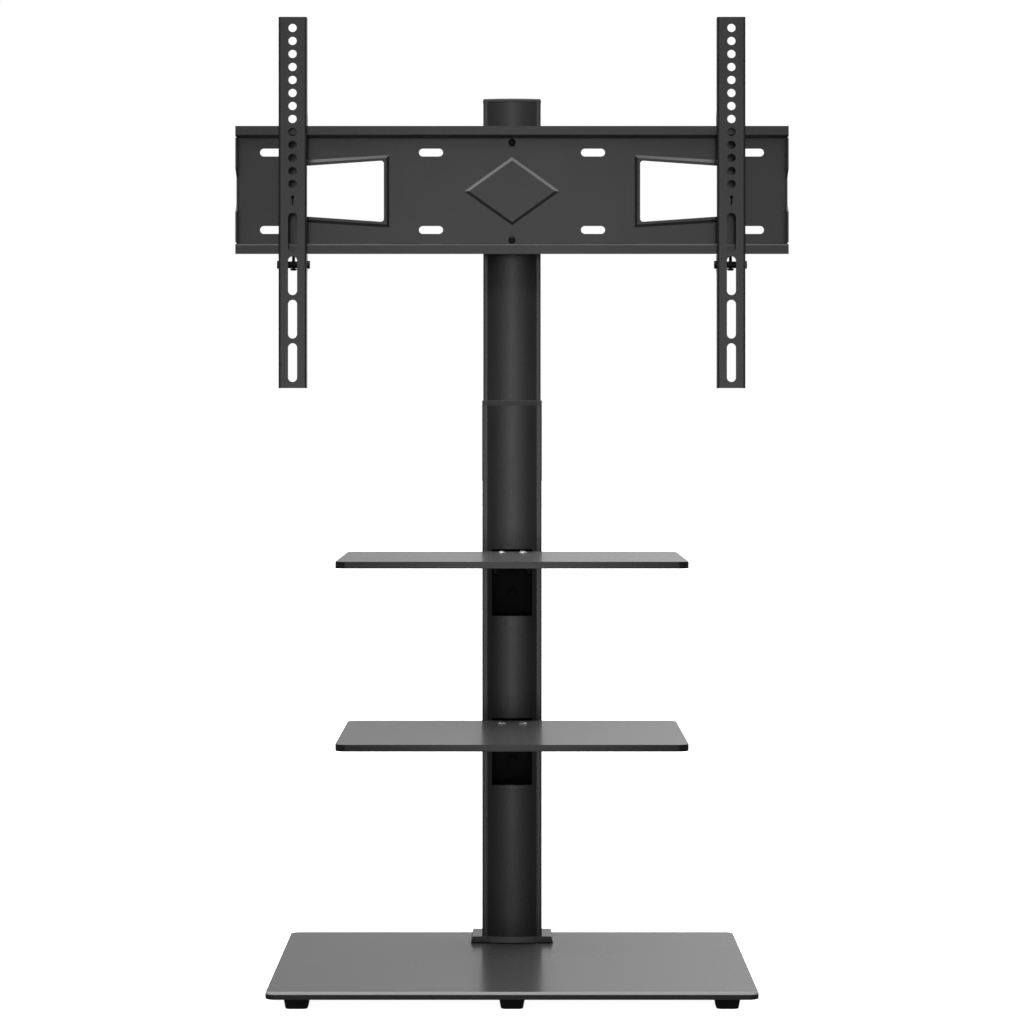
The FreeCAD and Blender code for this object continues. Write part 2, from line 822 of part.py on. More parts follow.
def make_shelf_glass(name, height):
    """Glass shelf whose back edge is hollowed round the column."""
    body = new_body(f"{name}_shelf_glass", y=COLUMN_Y, z=height - S.shelf_thick)
    half = S.shelf_width / 2
    back = -S.shelf_gap
    glass_panel(body, -half, half, back - S.shelf_depth, back, S.shelf_thick, S.shelf_corner, S.shelf_arris)
    hollow = new_sketch(body, "XY")
    disc(hollow, 0, CROWN_CENTRE, (CROWN_RADIUS + S.shelf_gap) * 2)
    pocket(body, hollow)
    drill_shelf_screws(body)


def make_shelf_bracket(name, height):
    """Folded bracket: a tongue under the glass, two stiffening lips and a back plate inside the column."""
    body = new_body(f"{name}_shelf_bracket", y=COLUMN_Y, z=height - S.shelf_thick)
    half = S.bracket_width / 2
    thick = S.bracket_thick
    tongue_bottom = BRACKET_TOP - thick
    plate_front = BACK_INSIDE - thick
    side = new_sketch(body, "YZ")
    outline(side, [(-S.bracket_reach, BRACKET_TOP), (-S.bracket_reach, tongue_bottom),
                   (plate_front, tongue_bottom), (plate_front, BRACKET_TOP - S.bracket_drop),
                   (BACK_INSIDE, BRACKET_TOP - S.bracket_drop), (BACK_INSIDE, BRACKET_TOP)])
    pad(body, side, S.bracket_width, both=True)
    for lift, reverse in ((-half, False), (half, True)):
        lip = new_sketch(body, "YZ", lift)
        outline(lip, [(-S.bracket_reach, BRACKET_TOP), (-S.bracket_reach, BRACKET_TOP - S.bracket_front_lip),
                      (plate_front, BRACKET_TOP - S.bracket_rear_lip), (plate_front, BRACKET_TOP)])
        pad(body, lip, thick, reverse=reverse)
    drill_shelf_screws(body)
    back_holes = new_sketch(body, "XZ", -plate_front)
    for drop in BRACKET_BOLTS:
        disc(back_holes, 0, drop, S.bracket_bolt + S.bolt_slack)
    pocket(body, back_holes, S.bracket_thick)


def make_shelf_pad(name, height):
    """Rubber pad between the glass and the bracket's tongue."""
    body = new_body(f"{name}_shelf_pad", y=COLUMN_Y, z=height - S.shelf_thick - S.shelf_pad)
    half = S.bracket_width / 2
    sketch = new_sketch(body, "XY")
    back = -S.crown_rise - S.shelf_gap - S.shelf_pad_inset
    rectangle(sketch, -half, half, -S.bracket_reach, back)
    pad(body, sketch, S.shelf_pad)
    drill_shelf_screws(body)


def make_shelf_fasteners(name, height):
    """Screws and nuts through the glass, and bolts and nuts through the back of the column."""
    grip = S.shelf_thick + S.shelf_pad + S.bracket_thick
    screws = new_body(f"{name}_shelf_screws", y=COLUMN_Y, z=height)
    nuts = new_body(f"{name}_shelf_nuts", y=COLUMN_Y, z=height - grip - S.nut_thick)
    heads = new_sketch(screws, "XY")
    shanks = new_sketch(screws, "XY")
    rings = new_sketch(nuts, "XY")
    for x, y in shelf_screw_spots():
        disc(heads, x, y, S.shelf_screw_head)
        disc(shanks, x, y, S.shelf_screw)
        hexagon(rings, x, y, S.nut_flats)
        disc(rings, x, y, S.shelf_screw)
    pad(screws, heads, S.shelf_screw_rise)
    soften(screws, level_edges(screws, (S.shelf_screw_rise,)), S.shelf_screw_round)
    pad(screws, shanks, grip + S.nut_thick + S.thread_end, reverse=True)
    pad(nuts, rings, S.nut_thick)

    bolt_heights = [height - S.shelf_thick + drop for drop in BRACKET_BOLTS]
    length = S.column_wall + S.bracket_thick + S.nut_thick + S.thread_end
    button_screws(f"{name}_bracket_bolts", [(0, bolt) for bolt in bolt_heights], S.bracket_bolt, length,
                  S.bracket_bolt_head, S.bracket_bolt_rise, S.bracket_bolt_rise / 2)
    nuts = new_body(f"{name}_bracket_nuts", y=COLUMN_Y)
    rings = new_sketch(nuts, "XZ", S.bracket_thick - BACK_INSIDE)
    for bolt in bolt_heights:
        hexagon(rings, 0, bolt, S.nut_flats)
        disc(rings, 0, bolt, S.bracket_bolt)
    pad(nuts, rings, S.nut_thick)


# Saddle on the upper column, and the mount plate bolted to it

def cross_bolt_heights():
    return [PLATE_CENTRE - S.cross_bolt_half, PLATE_CENTRE + S.cross_bolt_half]


def plate_bolt_heights():
    return [-S.plate_bolt_half, S.plate_bolt_half]


def make_saddle():
    """Folded saddle: a flat front behind the plate and two cheeks that grip the sides of the column."""
    body = new_body("mount_saddle", z=PLATE_CENTRE)
    rear = COLUMN_Y + S.saddle_grip
    plan = new_sketch(body, "XY")
    outline(plan, [(-SADDLE_OUTSIDE, PLATE_BACK), (SADDLE_OUTSIDE, PLATE_BACK), (SADDLE_OUTSIDE, rear),
                   (SADDLE_INSIDE, rear), (SADDLE_INSIDE, SADDLE_BACK), (-SADDLE_INSIDE, SADDLE_BACK),
                   (-SADDLE_INSIDE, rear), (-SADDLE_OUTSIDE, rear)])
    pad(body, plan, S.saddle_height, both=True)
    soften(body, upright_edges(body, (-SADDLE_OUTSIDE, SADDLE_OUTSIDE), (PLATE_BACK,)), S.saddle_bend)
    across = new_sketch(body, "YZ")
    for height in cross_bolt_heights():
        disc(across, CROSS_Y, height - PLATE_CENTRE, S.cross_bolt + S.bolt_slack)
    pocket(body, across)
    front = new_sketch(body, "XZ", -SADDLE_BACK)
    for height in plate_bolt_heights():
        disc(front, 0, height, S.plate_bolt + S.bolt_slack)
    pocket(body, front, S.saddle_thick, reverse=True)


def make_cross_bolts():
    """Two long bolts through the saddle's cheeks and the column, with their nuts."""
    bolts = new_body("cross_bolts", y=CROSS_Y)
    nuts = new_body("cross_nuts", y=CROSS_Y)
    heads = new_sketch(bolts, "YZ", -SADDLE_OUTSIDE)
    shanks = new_sketch(bolts, "YZ", -SADDLE_OUTSIDE)
    rings = new_sketch(nuts, "YZ", SADDLE_OUTSIDE)
    for height in cross_bolt_heights():
        hexagon(heads, 0, height, S.cross_bolt_flats)
        disc(shanks, 0, height, S.cross_bolt)
        hexagon(rings, 0, height, S.cross_bolt_flats)
        disc(rings, 0, height, S.cross_bolt)
    pad(bolts, heads, S.cross_bolt_head, reverse=True)
    pad(bolts, shanks, SADDLE_OUTSIDE * 2 + S.cross_nut_thick + S.thread_end)
    pad(nuts, rings, S.cross_nut_thick)


def emboss(body, wide, narrow):
    """Press a flat-topped bump towards the viewer, hollow behind so that the sheet keeps its thickness."""
    for face, cut in ((WEB_FRONT, False), (PLATE_BACK, True)):
        foot = new_sketch(body, "XZ", -face)
        outline(foot, wide)
        top = new_sketch(body, "XZ", S.emboss_rise - face)
        outline(top, narrow)
        loft(body, foot, top, cut)


def window_corners(side, grow):
    """Corners of a plate window, taller towards the middle, widened all round by grow."""
    inner = (S.window_inner - grow) * side
    outer = (S.window_outer + grow) * side
    tall = S.window_tall / 2 + grow
    short = S.window_short / 2 + grow
    return [(inner, -tall), (outer, -short), (outer, short), (inner, tall)]


def diamond_corners(inset_x, inset_z):
    half_x = S.diamond_width / 2 - inset_x
    half_z = S.diamond_height / 2 - inset_z
    return [(0, -half_z), (half_x, 0), (0, half_z), (-half_x, 0)]


def end_wall_corners(half):
    """Side view of a wall that closes the plate's end, its front edge cut back in the middle."""
    low = S.end_notch_low / 2
    high = S.end_notch_high / 2
    notch = LIP_FRONT + S.end_notch_depth
    return [(PLATE_BACK, -half), (LIP_FRONT, -half), (LIP_FRONT, -high), (notch, -low), (notch, low),
            (LIP_FRONT, high), (LIP_FRONT, half), (PLATE_BACK, half)]


def make_mount_plate():
    """Hat-section plate with out-turned lips, walled ends, pressed windows and diamond, and rows of slots."""
    body = new_body("mount_plate", z=PLATE_CENTRE)
    lip = S.plate_height / 2
    shelf = S.channel_height / 2
    inner = shelf - S.sheet
    section = new_sketch(body, "YZ")
    upper = [(LIP_FRONT, inner), (LIP_FRONT, lip), (LIP_BACK, lip), (LIP_BACK, shelf), (PLATE_BACK, shelf)]
    lower = [(y, -z) for y, z in reversed(upper)]
    outline(section, upper + lower + [(WEB_FRONT, -inner), (WEB_FRONT, inner)])
    pad(body, section, S.plate_width, both=True)

    def bends(corners):
        def wanted(first, last):
            level = near(first.y, last.y) and near(first.z, last.z)
            return level and any(near(first.y, y) and near(abs(first.z), z) for y, z in corners)
        return edge_names(body, wanted)
    soften(body, bends([(LIP_FRONT, inner), (PLATE_BACK, shelf)]), S.sheet_bend + S.sheet)
    soften(body, bends([(LIP_BACK, shelf), (WEB_FRONT, inner)]), S.sheet_bend)
    end = S.plate_width / 2
    for lift, reverse in ((-end, False), (end, True)):
        wall = new_sketch(body, "YZ", lift)
        outline(wall, end_wall_corners(inner - S.end_wall_relief))
        pad(body, wall, S.sheet, reverse=reverse)

    emboss(body, diamond_corners(0, 0), diamond_corners(S.diamond_slope_x, S.diamond_slope_z))
    for side in SIDES.values():
        emboss(body, window_corners(side, S.rim_width), window_corners(side, S.rim_width - S.rim_slope))
    cuts = new_sketch(body, "XZ")
    for side in SIDES.values():
        outline(cuts, window_corners(side, as_size(0)))
        for x in (S.inner_slot_x * side, S.outer_slot_x * side):
            for z in (-S.slot_row / 2, S.slot_row / 2):
                slot(cuts, x, z, S.plate_slot_length, S.plate_slot_width)
    adjust_width = S.plate_bolt + S.bolt_slack
    toward_middle = (S.adjust_slot - adjust_width) / 2
    slot(cuts, as_size(0), S.plate_bolt_half - toward_middle, S.adjust_slot, adjust_width, upright=True)
    slot(cuts, as_size(0), toward_middle - S.plate_bolt_half, S.adjust_slot, adjust_width, upright=True)
    pocket(body, cuts)
    for side in SIDES.values():
        soften(body, edges_along_y(body, window_corners(side, as_size(0))), S.window_round)


def make_plate_bolts():
    """Two bolts that hold the plate to the saddle, with their nuts behind it."""
    bolts = new_body("plate_bolts", z=PLATE_CENTRE)
    nuts = new_body("plate_nuts", z=PLATE_CENTRE)
    heads = new_sketch(bolts, "XZ", -WEB_FRONT)
    shanks = new_sketch(bolts, "XZ", -WEB_FRONT)
    rings = new_sketch(nuts, "XZ", -SADDLE_BACK)
    for height in plate_bolt_heights():
        disc(heads, 0, height, S.plate_bolt_head)
        disc(shanks, 0, height, S.plate_bolt)
        hexagon(rings, 0, height, S.nut_flats)
        disc(rings, 0, height, S.plate_bolt)
    pad(bolts, heads, S.plate_bolt_rise)
    soften(bolts, edges_at_y(bolts, WEB_FRONT - S.plate_bolt_rise), S.plate_bolt_round)
    pad(bolts, shanks, SADDLE_BACK - WEB_FRONT + S.nut_thick + S.thread_end, reverse=True)
    pad(nuts, rings, S.nut_thick, reverse=True)


# Hanging arms, their cross pins and safety screws

def cheek_corners():
    """Side view of an arm's cheek: hook over the upper lip, relief along the plate, ear for the pin."""
    top = S.arm_above
    bottom = S.arm_above - S.arm_length
    lip = S.plate_height / 2
    rear = ARM_FRONT + S.arm_depth
    relief = LIP_FRONT - S.hook_gap
    behind = LIP_BACK + S.hook_gap
    hook_rear = behind + S.hook_reach
    ear_rear = PIN_Y + S.ear_margin
    over = lip + S.hook_gap
    ear_top = -lip - S.hook_gap
    ear_bottom = PIN_Z - S.ear_margin
    foot = [(ARM_FRONT, bottom), (rear, bottom)]
    ear = [(rear, ear_bottom - S.arm_taper), (ear_rear, ear_bottom), (ear_rear, ear_top), (relief, ear_top)]
    hook = [(relief, over), (behind, over), (behind, lip - S.hook_grip), (hook_rear, lip - S.hook_grip),
            (hook_rear, lip + S.hook_height), (rear, lip + S.hook_height + S.arm_taper)]
    head = [(rear, top), (ARM_FRONT, top)]
    return foot + ear + hook + head


def arm_cuts(sketch):
    """Round holes, keyhole mark and long slots down the front of an arm."""
    top = S.arm_above
    bottom = S.arm_above - S.arm_length
    for hole in range(ARM_HOLES):
        disc(sketch, 0, top - S.arm_hole_edge - S.arm_hole_pitch * hole, S.arm_hole)
    for step in range(ARM_SLOTS):
        middle = bottom + S.arm_slot_edge + S.arm_slot_length / 2 + S.arm_slot_pitch * step
        slot(sketch, as_size(0), middle, S.arm_slot_length, S.arm_slot_width, upright=True)


def keyhole_mark(body):
    """Small keyhole between the holes and the slots."""
    head = S.arm_above - S.key_drop - S.key_head / 2
    mark = new_sketch(body, "XZ")
    disc(mark, 0, head, S.key_head)
    pocket(body, mark)
    tail = new_sketch(body, "XZ")
    tail_middle = S.arm_above - S.key_drop - S.key_length / 2 - S.key_tail / 2
    slot(tail, as_size(0), tail_middle, S.key_length - S.key_tail, S.key_tail, upright=True)
    pocket(body, tail)


def make_arm(name, side):
    body = new_body(f"{name}_arm", S.arm_offset * side, 0, PLATE_CENTRE)
    half = S.arm_width / 2
    front = new_sketch(body, "XZ", -ARM_FRONT - S.sheet)
    rectangle(front, -half, half, S.arm_above - S.arm_length, S.arm_above)
    pad(body, front, S.sheet)
    for lift, reverse in ((-half, False), (half, True)):
        cheek = new_sketch(body, "YZ", lift)
        outline(cheek, cheek_corners())
        pad(body, cheek, S.sheet, reverse=reverse)
    soften(body, upright_edges(body, (-half, half), (ARM_FRONT,)), S.arm_bend)
    cuts = new_sketch(body, "XZ")
    arm_cuts(cuts)
    pocket(body, cuts)
    keyhole_mark(body)
    ears = new_sketch(body, "YZ")
    disc(ears, PIN_Y, PIN_Z, S.pin_shank + S.pin_fit * 2)
    pocket(body, ears)


def make_arm_pin(name, side):
    """Cross pin through the arm's ears, tapped crosswise for the safety screw."""
    body = new_body(f"{name}_arm_pin", S.arm_offset * side, PIN_Y, PLATE_CENTRE + PIN_Z)
    half = S.arm_width / 2
    shank = new_sketch(body, "YZ")
    disc(shank, 0, 0, S.pin_shank)
    pad(body, shank, S.arm_width, both=True)
    for lift, reverse in ((-half, True), (half, False)):
        head = new_sketch(body, "YZ", lift)
        disc(head, 0, 0, S.pin_head)
        pad(body, head, S.pin_head_width, reverse=reverse)
    tapped = new_sketch(body, "XY")
    disc(tapped, 0, 0, S.safety_shank + S.pin_fit * 2)
    pocket(body, tapped)


def make_safety_screw(name, side):
    """Upright screw whose tip stands behind the plate's lower lip and keeps the arm from lifting off."""
    under_pin = PIN_Z - S.pin_shank / 2 - S.safety_head_gap
    body = new_body(f"{name}_safety_screw", S.arm_offset * side, PIN_Y, PLATE_CENTRE + under_pin)
    head = new_sketch(body, "XY")
    disc(head, 0, 0, S.safety_head)
    pad(body, head, S.safety_head_rise, reverse=True)
    shank = new_sketch(body, "XY")
    disc(shank, 0, 0, S.safety_shank)
    pad(body, shank, S.safety_grip - S.plate_height / 2 - under_pin)


def make_stand():
    make_base_glass()
    make_feet()
    make_base_clamp()
    make_column_foot()
    make_foot_screws()
    make_lower_column()
    make_column_collar()
    make_upper_column()
    make_column_plugs()
    make_height_lock()
    for name, height in SHELF_HEIGHTS.items():
        make_shelf_glass(name, height)
        make_shelf_bracket(name, height)
        make_shelf_pad(name, height)
        make_shelf_fasteners(name, height)
    make_saddle()
    make_cross_bolts()
    make_mount_plate()
    make_plate_bolts()
    for name, side in SIDES.items():
        make_arm(name, side)
        make_arm_pin(name, side)
        make_safety_screw(name, side)
    doc.recompute()


def check_document():
    """Stop if any object failed to recompute or any piece has a bad shape."""
    for item in doc.Objects:
        if "Invalid" in item.State or "Error" in item.State:
            raise RuntimeError(f"{item.Label} failed: {item.State}")
    for piece in PIECES:
        if piece.Shape.isNull() or not piece.Shape.isValid() or not piece.Shape.Solids:
            raise RuntimeError(f"{piece.Label} has a bad shape")


def write_pieces():
    os.makedirs("parts", exist_ok=True)
    for piece in PIECES:
        piece.Shape.exportStep(os.path.join("parts", f"{piece.Label}.step"))


make_stand()
check_document()
write_pieces()
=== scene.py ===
import json
import math

import bpy
import numpy as np
from bpy.props import FloatProperty, FloatVectorProperty, PointerProperty
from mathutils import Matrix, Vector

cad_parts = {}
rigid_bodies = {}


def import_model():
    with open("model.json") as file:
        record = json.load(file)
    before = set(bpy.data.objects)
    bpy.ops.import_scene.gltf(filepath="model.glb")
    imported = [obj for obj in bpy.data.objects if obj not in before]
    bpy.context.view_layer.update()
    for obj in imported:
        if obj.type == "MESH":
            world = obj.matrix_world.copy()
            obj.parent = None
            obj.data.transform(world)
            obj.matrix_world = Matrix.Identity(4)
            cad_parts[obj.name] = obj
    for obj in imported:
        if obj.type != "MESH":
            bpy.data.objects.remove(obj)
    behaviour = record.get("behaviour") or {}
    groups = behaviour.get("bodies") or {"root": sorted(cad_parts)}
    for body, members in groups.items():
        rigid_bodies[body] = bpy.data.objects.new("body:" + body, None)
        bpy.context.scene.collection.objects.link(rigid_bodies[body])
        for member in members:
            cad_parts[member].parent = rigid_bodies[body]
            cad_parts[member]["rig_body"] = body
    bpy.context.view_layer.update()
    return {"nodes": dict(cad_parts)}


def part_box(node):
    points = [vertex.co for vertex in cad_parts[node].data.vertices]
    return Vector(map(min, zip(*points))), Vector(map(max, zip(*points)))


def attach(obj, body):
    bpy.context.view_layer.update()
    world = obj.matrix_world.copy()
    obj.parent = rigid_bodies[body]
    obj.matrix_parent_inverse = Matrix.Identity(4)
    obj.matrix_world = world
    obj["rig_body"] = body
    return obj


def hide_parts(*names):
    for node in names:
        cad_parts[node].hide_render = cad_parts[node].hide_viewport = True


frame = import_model()

bl_info = {
    "name": "Screen stand",
    "version": (1, 0, 0),
    "blender": (4, 5, 0),
    "location": "3D View > Sidebar > Screen stand",
    "description": "Dresses a glass and steel floor stand for a flat screen",
    "category": "Add Mesh",
}

MM = 0.001
TURN = 2 * math.pi
WHITE = (1.0, 1.0, 1.0, 1.0)
SIDES = ("left", "right")
SHELVES = ("lower", "upper")

# Places that the new pieces share with the stand's own parts, in metres
COLUMN_FRONT = 108 * MM
COLUMN_BACK = 152 * MM
CROWN_RADIUS = 107.125 * MM
CROWN_CENTRE = COLUMN_FRONT + 103.125 * MM
COLUMN_HALF = 35 * MM
COLUMN_WALL = 1 * MM
SHELF_GAP = 1 * MM

# Points round a screw's head, round a hexagon and round the hand screw
ROUND_POINTS, HEX_POINTS, KNOB_POINTS = 48, 72, 192

# Angles in degrees above which an edge is rounded: sheet and castings, the plate's shallow pressings, and the
# creases beside the column's crown
SHARP_EDGE, PRESSED_FOLD, CROWN_CREASE = 30, 18, 11

# Lights in front of the stand, as directions from it: where each fades in from the sides, and where it
# fades in and out again from below up
FRONT_LIGHTS = {
    "front_spot": ((0.33, 0.20), (-0.15, -0.03, 0.025, 0.06)),
    "front_strip": ((0.065, 0.0), (-0.14, -0.115, -0.04, 0.02)),
    "front_lamp": ((0.06, 0.0), (0.02, 0.05, 0.12, 0.2)),
}


# Shader trees

class Value:
    """A socket in a node tree. Sums on it add Math nodes, so that a pattern reads like its formula."""

    def __init__(self, nodes, socket):
        self.nodes = nodes
        self.socket = socket

    def math(self, operation, first, second):
        return self.nodes.node("ShaderNodeMath", {"operation": operation}, {0: first, 1: second})

    def __add__(self, other):
        return self.math("ADD", self, other)

    def __sub__(self, other):
        return self.math("SUBTRACT", self, other)

    def __rsub__(self, other):
        return self.math("SUBTRACT", other, self)

    def __mul__(self, other):
        return self.math("MULTIPLY", self, other)

    def __pow__(self, other):
        return self.math("POWER", self, other)

    def most(self, other):
        """The larger of two values."""
        return self.math("MAXIMUM", self, other)

    __radd__ = __add__
    __rmul__ = __mul__


class Nodes:
    """A node tree in the making."""

    def __init__(self, tree):
        self.tree = tree
        tree.nodes.clear()

    def node(self, kind, settings=None, sockets=None, output=0):
        """Adds a node, sets it up, feeds its sockets, and gives one of its outputs."""
        made = self.tree.nodes.new(kind)
        for key, setting in (settings or {}).items():
            setattr(made, key, setting)
        for key, item in (sockets or {}).items():
            if isinstance(item, Value):
                self.tree.links.new(item.socket, made.inputs[key])
            else:
                made.inputs[key].default_value = item
        return Value(self, made.outputs[output]) if made.outputs else None

    def place(self, stretch=(1, 1, 1)):
        """Position on the piece in metres, squeezed or stretched along each axis."""
        spot = self.node("ShaderNodeTexCoord", output="Object")
        return self.node("ShaderNodeMapping", {}, {"Vector": spot, "Scale": stretch})

    def noise(self, size, detail=2.0, stretch=(1, 1, 1)):
        """Soft random pattern whose blotches are about size across, from 0 to 1."""
        sockets = {"Vector": self.place(stretch), "Scale": 1 / size, "Detail": detail}
        return self.node("ShaderNodeTexNoise", {}, sockets)

    def cells(self, size):
        """Distance to the nearest of many scattered points, about size apart."""
        return self.node("ShaderNodeTexVoronoi", {}, {"Vector": self.place(), "Scale": 1 / size}, "Distance")

    def spread(self, value, low, high):
        """Stretches the part of a pattern from low to high over 0 to 1."""
        return self.node("ShaderNodeMapRange", {"clamp": True}, {0: value, 1: low, 2: high, 3: 0.0, 4: 1.0})

    def band(self, value, low, full_low, full_high, high):
        """1 where a pattern lies between the two full limits, and falling to 0 at low and high."""
        return self.spread(value, low, full_low) * self.spread(value, high, full_high)

    def blend(self, factor, first, second):
        """Mix of two colours."""
        return self.node("ShaderNodeMix", {"data_type": "RGBA"}, {0: factor, 6: first, 7: second}, 2)

    def bump(self, height, depth):
        """Normal of a surface raised by depth metres where the pattern is 1."""
        return self.node("ShaderNodeBump", {}, {"Height": height, "Distance": depth, "Strength": 1.0})

    def principled(self, sockets):
        return self.node("ShaderNodeBsdfPrincipled", {}, sockets)

    def show(self, shader):
        """Puts a shader on the material's output."""
        self.node("ShaderNodeOutputMaterial", {}, {"Surface": shader})

    def surface(self, sockets):
        """Principled surface on the material's output."""
        self.show(self.principled(sockets))

    def axes(self, vector):
        """The three parts of a vector."""
        split = self.node("ShaderNodeSeparateXYZ", {}, {0: vector}).socket.node
        return [Value(self, socket) for socket in split.outputs]


def shade(colour, factor):
    """A colour made lighter or darker, as four numbers."""
    return tuple(min(1.0, part * factor) for part in colour[:3]) + (1.0,)


def glass_finish(nodes, colour):
    """Black glass under a film of fine dust, which glows when seen along the surface; a few coarser
    specks, and the slow waves of the tempering rollers."""
    haze = nodes.noise(160 * MM, 3.0)
    dust = nodes.spread(nodes.noise(1.1 * MM, 1.0), 0.70, 0.78) * nodes.spread(haze, 0.45, 0.75)
    wave = nodes.noise(120 * MM, 0.0, (0.3, 1, 1))
    nodes.surface({"Base Color": nodes.blend(dust * 0.5, colour, shade(colour, 8)),
                   "Roughness": 0.2 + 0.06 * haze + 0.1 * dust, "IOR": 1.5,
                   "Sheen Weight": 0.2, "Sheen Roughness": 0.5,
                   "Normal": nodes.bump(wave, 0.02 * MM)})


def glass_edge(nodes, dark, light, rough, streak, gloss, depth):
    """Cut edge of a glass panel: cloudy tone, and fine grinding lines along the edge."""
    lines = nodes.noise(3 * MM, 2.0, (0.05, 0.05, 6))
    cloud = nodes.noise(25 * MM)
    nodes.surface({"Base Color": nodes.blend(cloud, dark, light), "Roughness": rough + streak * lines,
                   "Specular IOR Level": gloss, "Normal": nodes.bump(lines, depth)})


def ground_edge_finish(nodes, colour):
    """Satin ground edge of the base."""
    glass_edge(nodes, shade(colour, 1.5), shade(colour, 2.5),
               rough=0.34, streak=0.16, gloss=0.28, depth=0.01 * MM)


def polished_edge_finish(nodes, colour):
    """Polished edge of the shelves, almost a mirror."""
    glass_edge(nodes, shade(colour, 0.8), shade(colour, 1.2),
               rough=0.07, streak=0.05, gloss=0.15, depth=0.002 * MM)


def frosted_arris_and_highlight_finish(nodes, colour):
    """Ground but unpolished arris: pale and dull, with grinding lines along it. Its pale tone is partly
    painted highlight, standing in for the reflection along the base's top edge.
    """
    lines = nodes.noise(2 * MM, 2.0, (0.08, 0.08, 8))
    nodes.surface({"Base Color": nodes.blend(lines, shade(colour, 0.85), shade(colour, 1.1)),
                   "Roughness": 0.5 + 0.2 * lines, "IOR": 1.5, "Normal": nodes.bump(lines, 0.01 * MM)})


def tube_paint(nodes, colour):
    """Satin black paint on a drawn tube: orange peel, and long faint marks along the tube."""
    peel = nodes.noise(1.6 * MM, 1.0)
    marks = nodes.noise(4 * MM, 3.0, (1, 1, 0.012))
    cloud = nodes.noise(70 * MM)
    return nodes.principled({"Base Color": nodes.blend(cloud, shade(colour, 0.85), shade(colour, 1.15)),
                             "Roughness": 0.22 + 0.06 * cloud + 0.04 * marks,
                             "Normal": nodes.bump(peel, 0.012 * MM)})


def painted_shade_dull(nodes, colour):
    """Painted shade: dull, soot-black primer with a faint grain. Its dullness stands in for the shade inside
    the column and its openings.
    """
    grain = nodes.noise(1.2 * MM, 2.0)
    tone = nodes.blend(grain, shade(colour, 0.7), shade(colour, 1.3))
    return nodes.principled({"Base Color": tone, "Roughness": 0.8 + 0.15 * grain, "Specular IOR Level": 0.05,
                             "Normal": nodes.bump(grain, 0.02 * MM)})


def column_paint_finish(nodes, colour):
    """Satin paint all over."""
    nodes.show(tube_paint(nodes, colour))


def lower_tube_finish(nodes, colour):
    """Satin paint outside the lower tube, and inside it a dull primer as painted shade.

    A point is inside when it lies within the middle of the tube's wall: between the side walls, before the
    back wall, and behind the front strips or within the crown's circle.
    """
    x, y, _ = nodes.axes(nodes.place())
    soft = 0.05 * MM
    wall = COLUMN_WALL / 2
    across = x.most(0 - x)
    from_crown = (x ** 2 + (y - CROWN_CENTRE) ** 2) ** 0.5

    def under(value, limit):
        return nodes.spread(value, limit + soft, limit - soft)
    behind_front = (1 - under(y, COLUMN_FRONT + wall)).most(under(from_crown, CROWN_RADIUS - wall))
    inside = under(across, COLUMN_HALF - wall) * under(y, COLUMN_BACK - wall) * behind_front
    # Inside the tube the dull primer paints in the shade of the hollow
    nodes.show(nodes.node("ShaderNodeMixShader", {}, {0: inside, 1: tube_paint(nodes, colour),
                                                      2: painted_shade_dull(nodes, shade(colour, 2))}))


def foot_paint_finish(nodes, colour):
    """Glossy black enamel on a casting: slow ripples and small nibs."""
    ripple = nodes.noise(9 * MM, 1.0)
    nibs = nodes.spread(nodes.noise(1.0 * MM, 1.0), 0.66, 0.8)
    nodes.surface({"Base Color": nodes.blend(ripple, shade(colour, 0.85), shade(colour, 1.15)),
                   "Roughness": 0.14 + 0.05 * ripple + 0.1 * nibs, "Specular IOR Level": 0.65,
                   "Normal": nodes.bump(ripple, 0.02 * MM)})


def bracket_paint_finish(nodes, colour):
    """Dull primer on the shelf brackets, as painted shade where they sit in the column's openings."""
    nodes.show(painted_shade_dull(nodes, colour))


def mount_paint_finish(nodes, colour):
    """Satin powder coat: fine pebbled grain with slow changes of tone."""
    grain = nodes.noise(0.9 * MM, 2.0)
    cloud = nodes.noise(45 * MM)
    fleck = nodes.spread(nodes.noise(0.6 * MM, 1.0), 0.62, 0.75)
    tone = nodes.blend(cloud, shade(colour, 0.85), shade(colour, 1.15))
    nodes.surface({"Base Color": nodes.blend(fleck * 0.35, tone, shade(colour, 2.2)),
                   "Roughness": 0.2 + 0.05 * cloud + 0.04 * grain, "Normal": nodes.bump(grain, 0.005 * MM)})


def rubber_finish(nodes, colour):
    """Black rubber: dull, finely pitted, and dusty in patches."""
    pits = nodes.noise(0.7 * MM, 3.0)
    dust = nodes.spread(nodes.noise(14 * MM, 4.0), 0.5, 0.8)
    nodes.surface({"Base Color": nodes.blend(dust * 0.35, colour, shade(colour, 3)),
                   "Roughness": 0.7 + 0.2 * dust, "Specular IOR Level": 0.15,
                   "Normal": nodes.bump(pits, 0.03 * MM)})


def plastic_finish(nodes, colour):
    """Moulded black plastic with a fine spark-eroded grain."""
    grain = nodes.cells(0.8 * MM)
    cloud = nodes.noise(20 * MM)
    nodes.surface({"Base Color": nodes.blend(cloud, shade(colour, 0.9), shade(colour, 1.15)),
                   "Roughness": 0.38 + 0.14 * grain + 0.06 * cloud, "Normal": nodes.bump(grain, 0.02 * MM)})


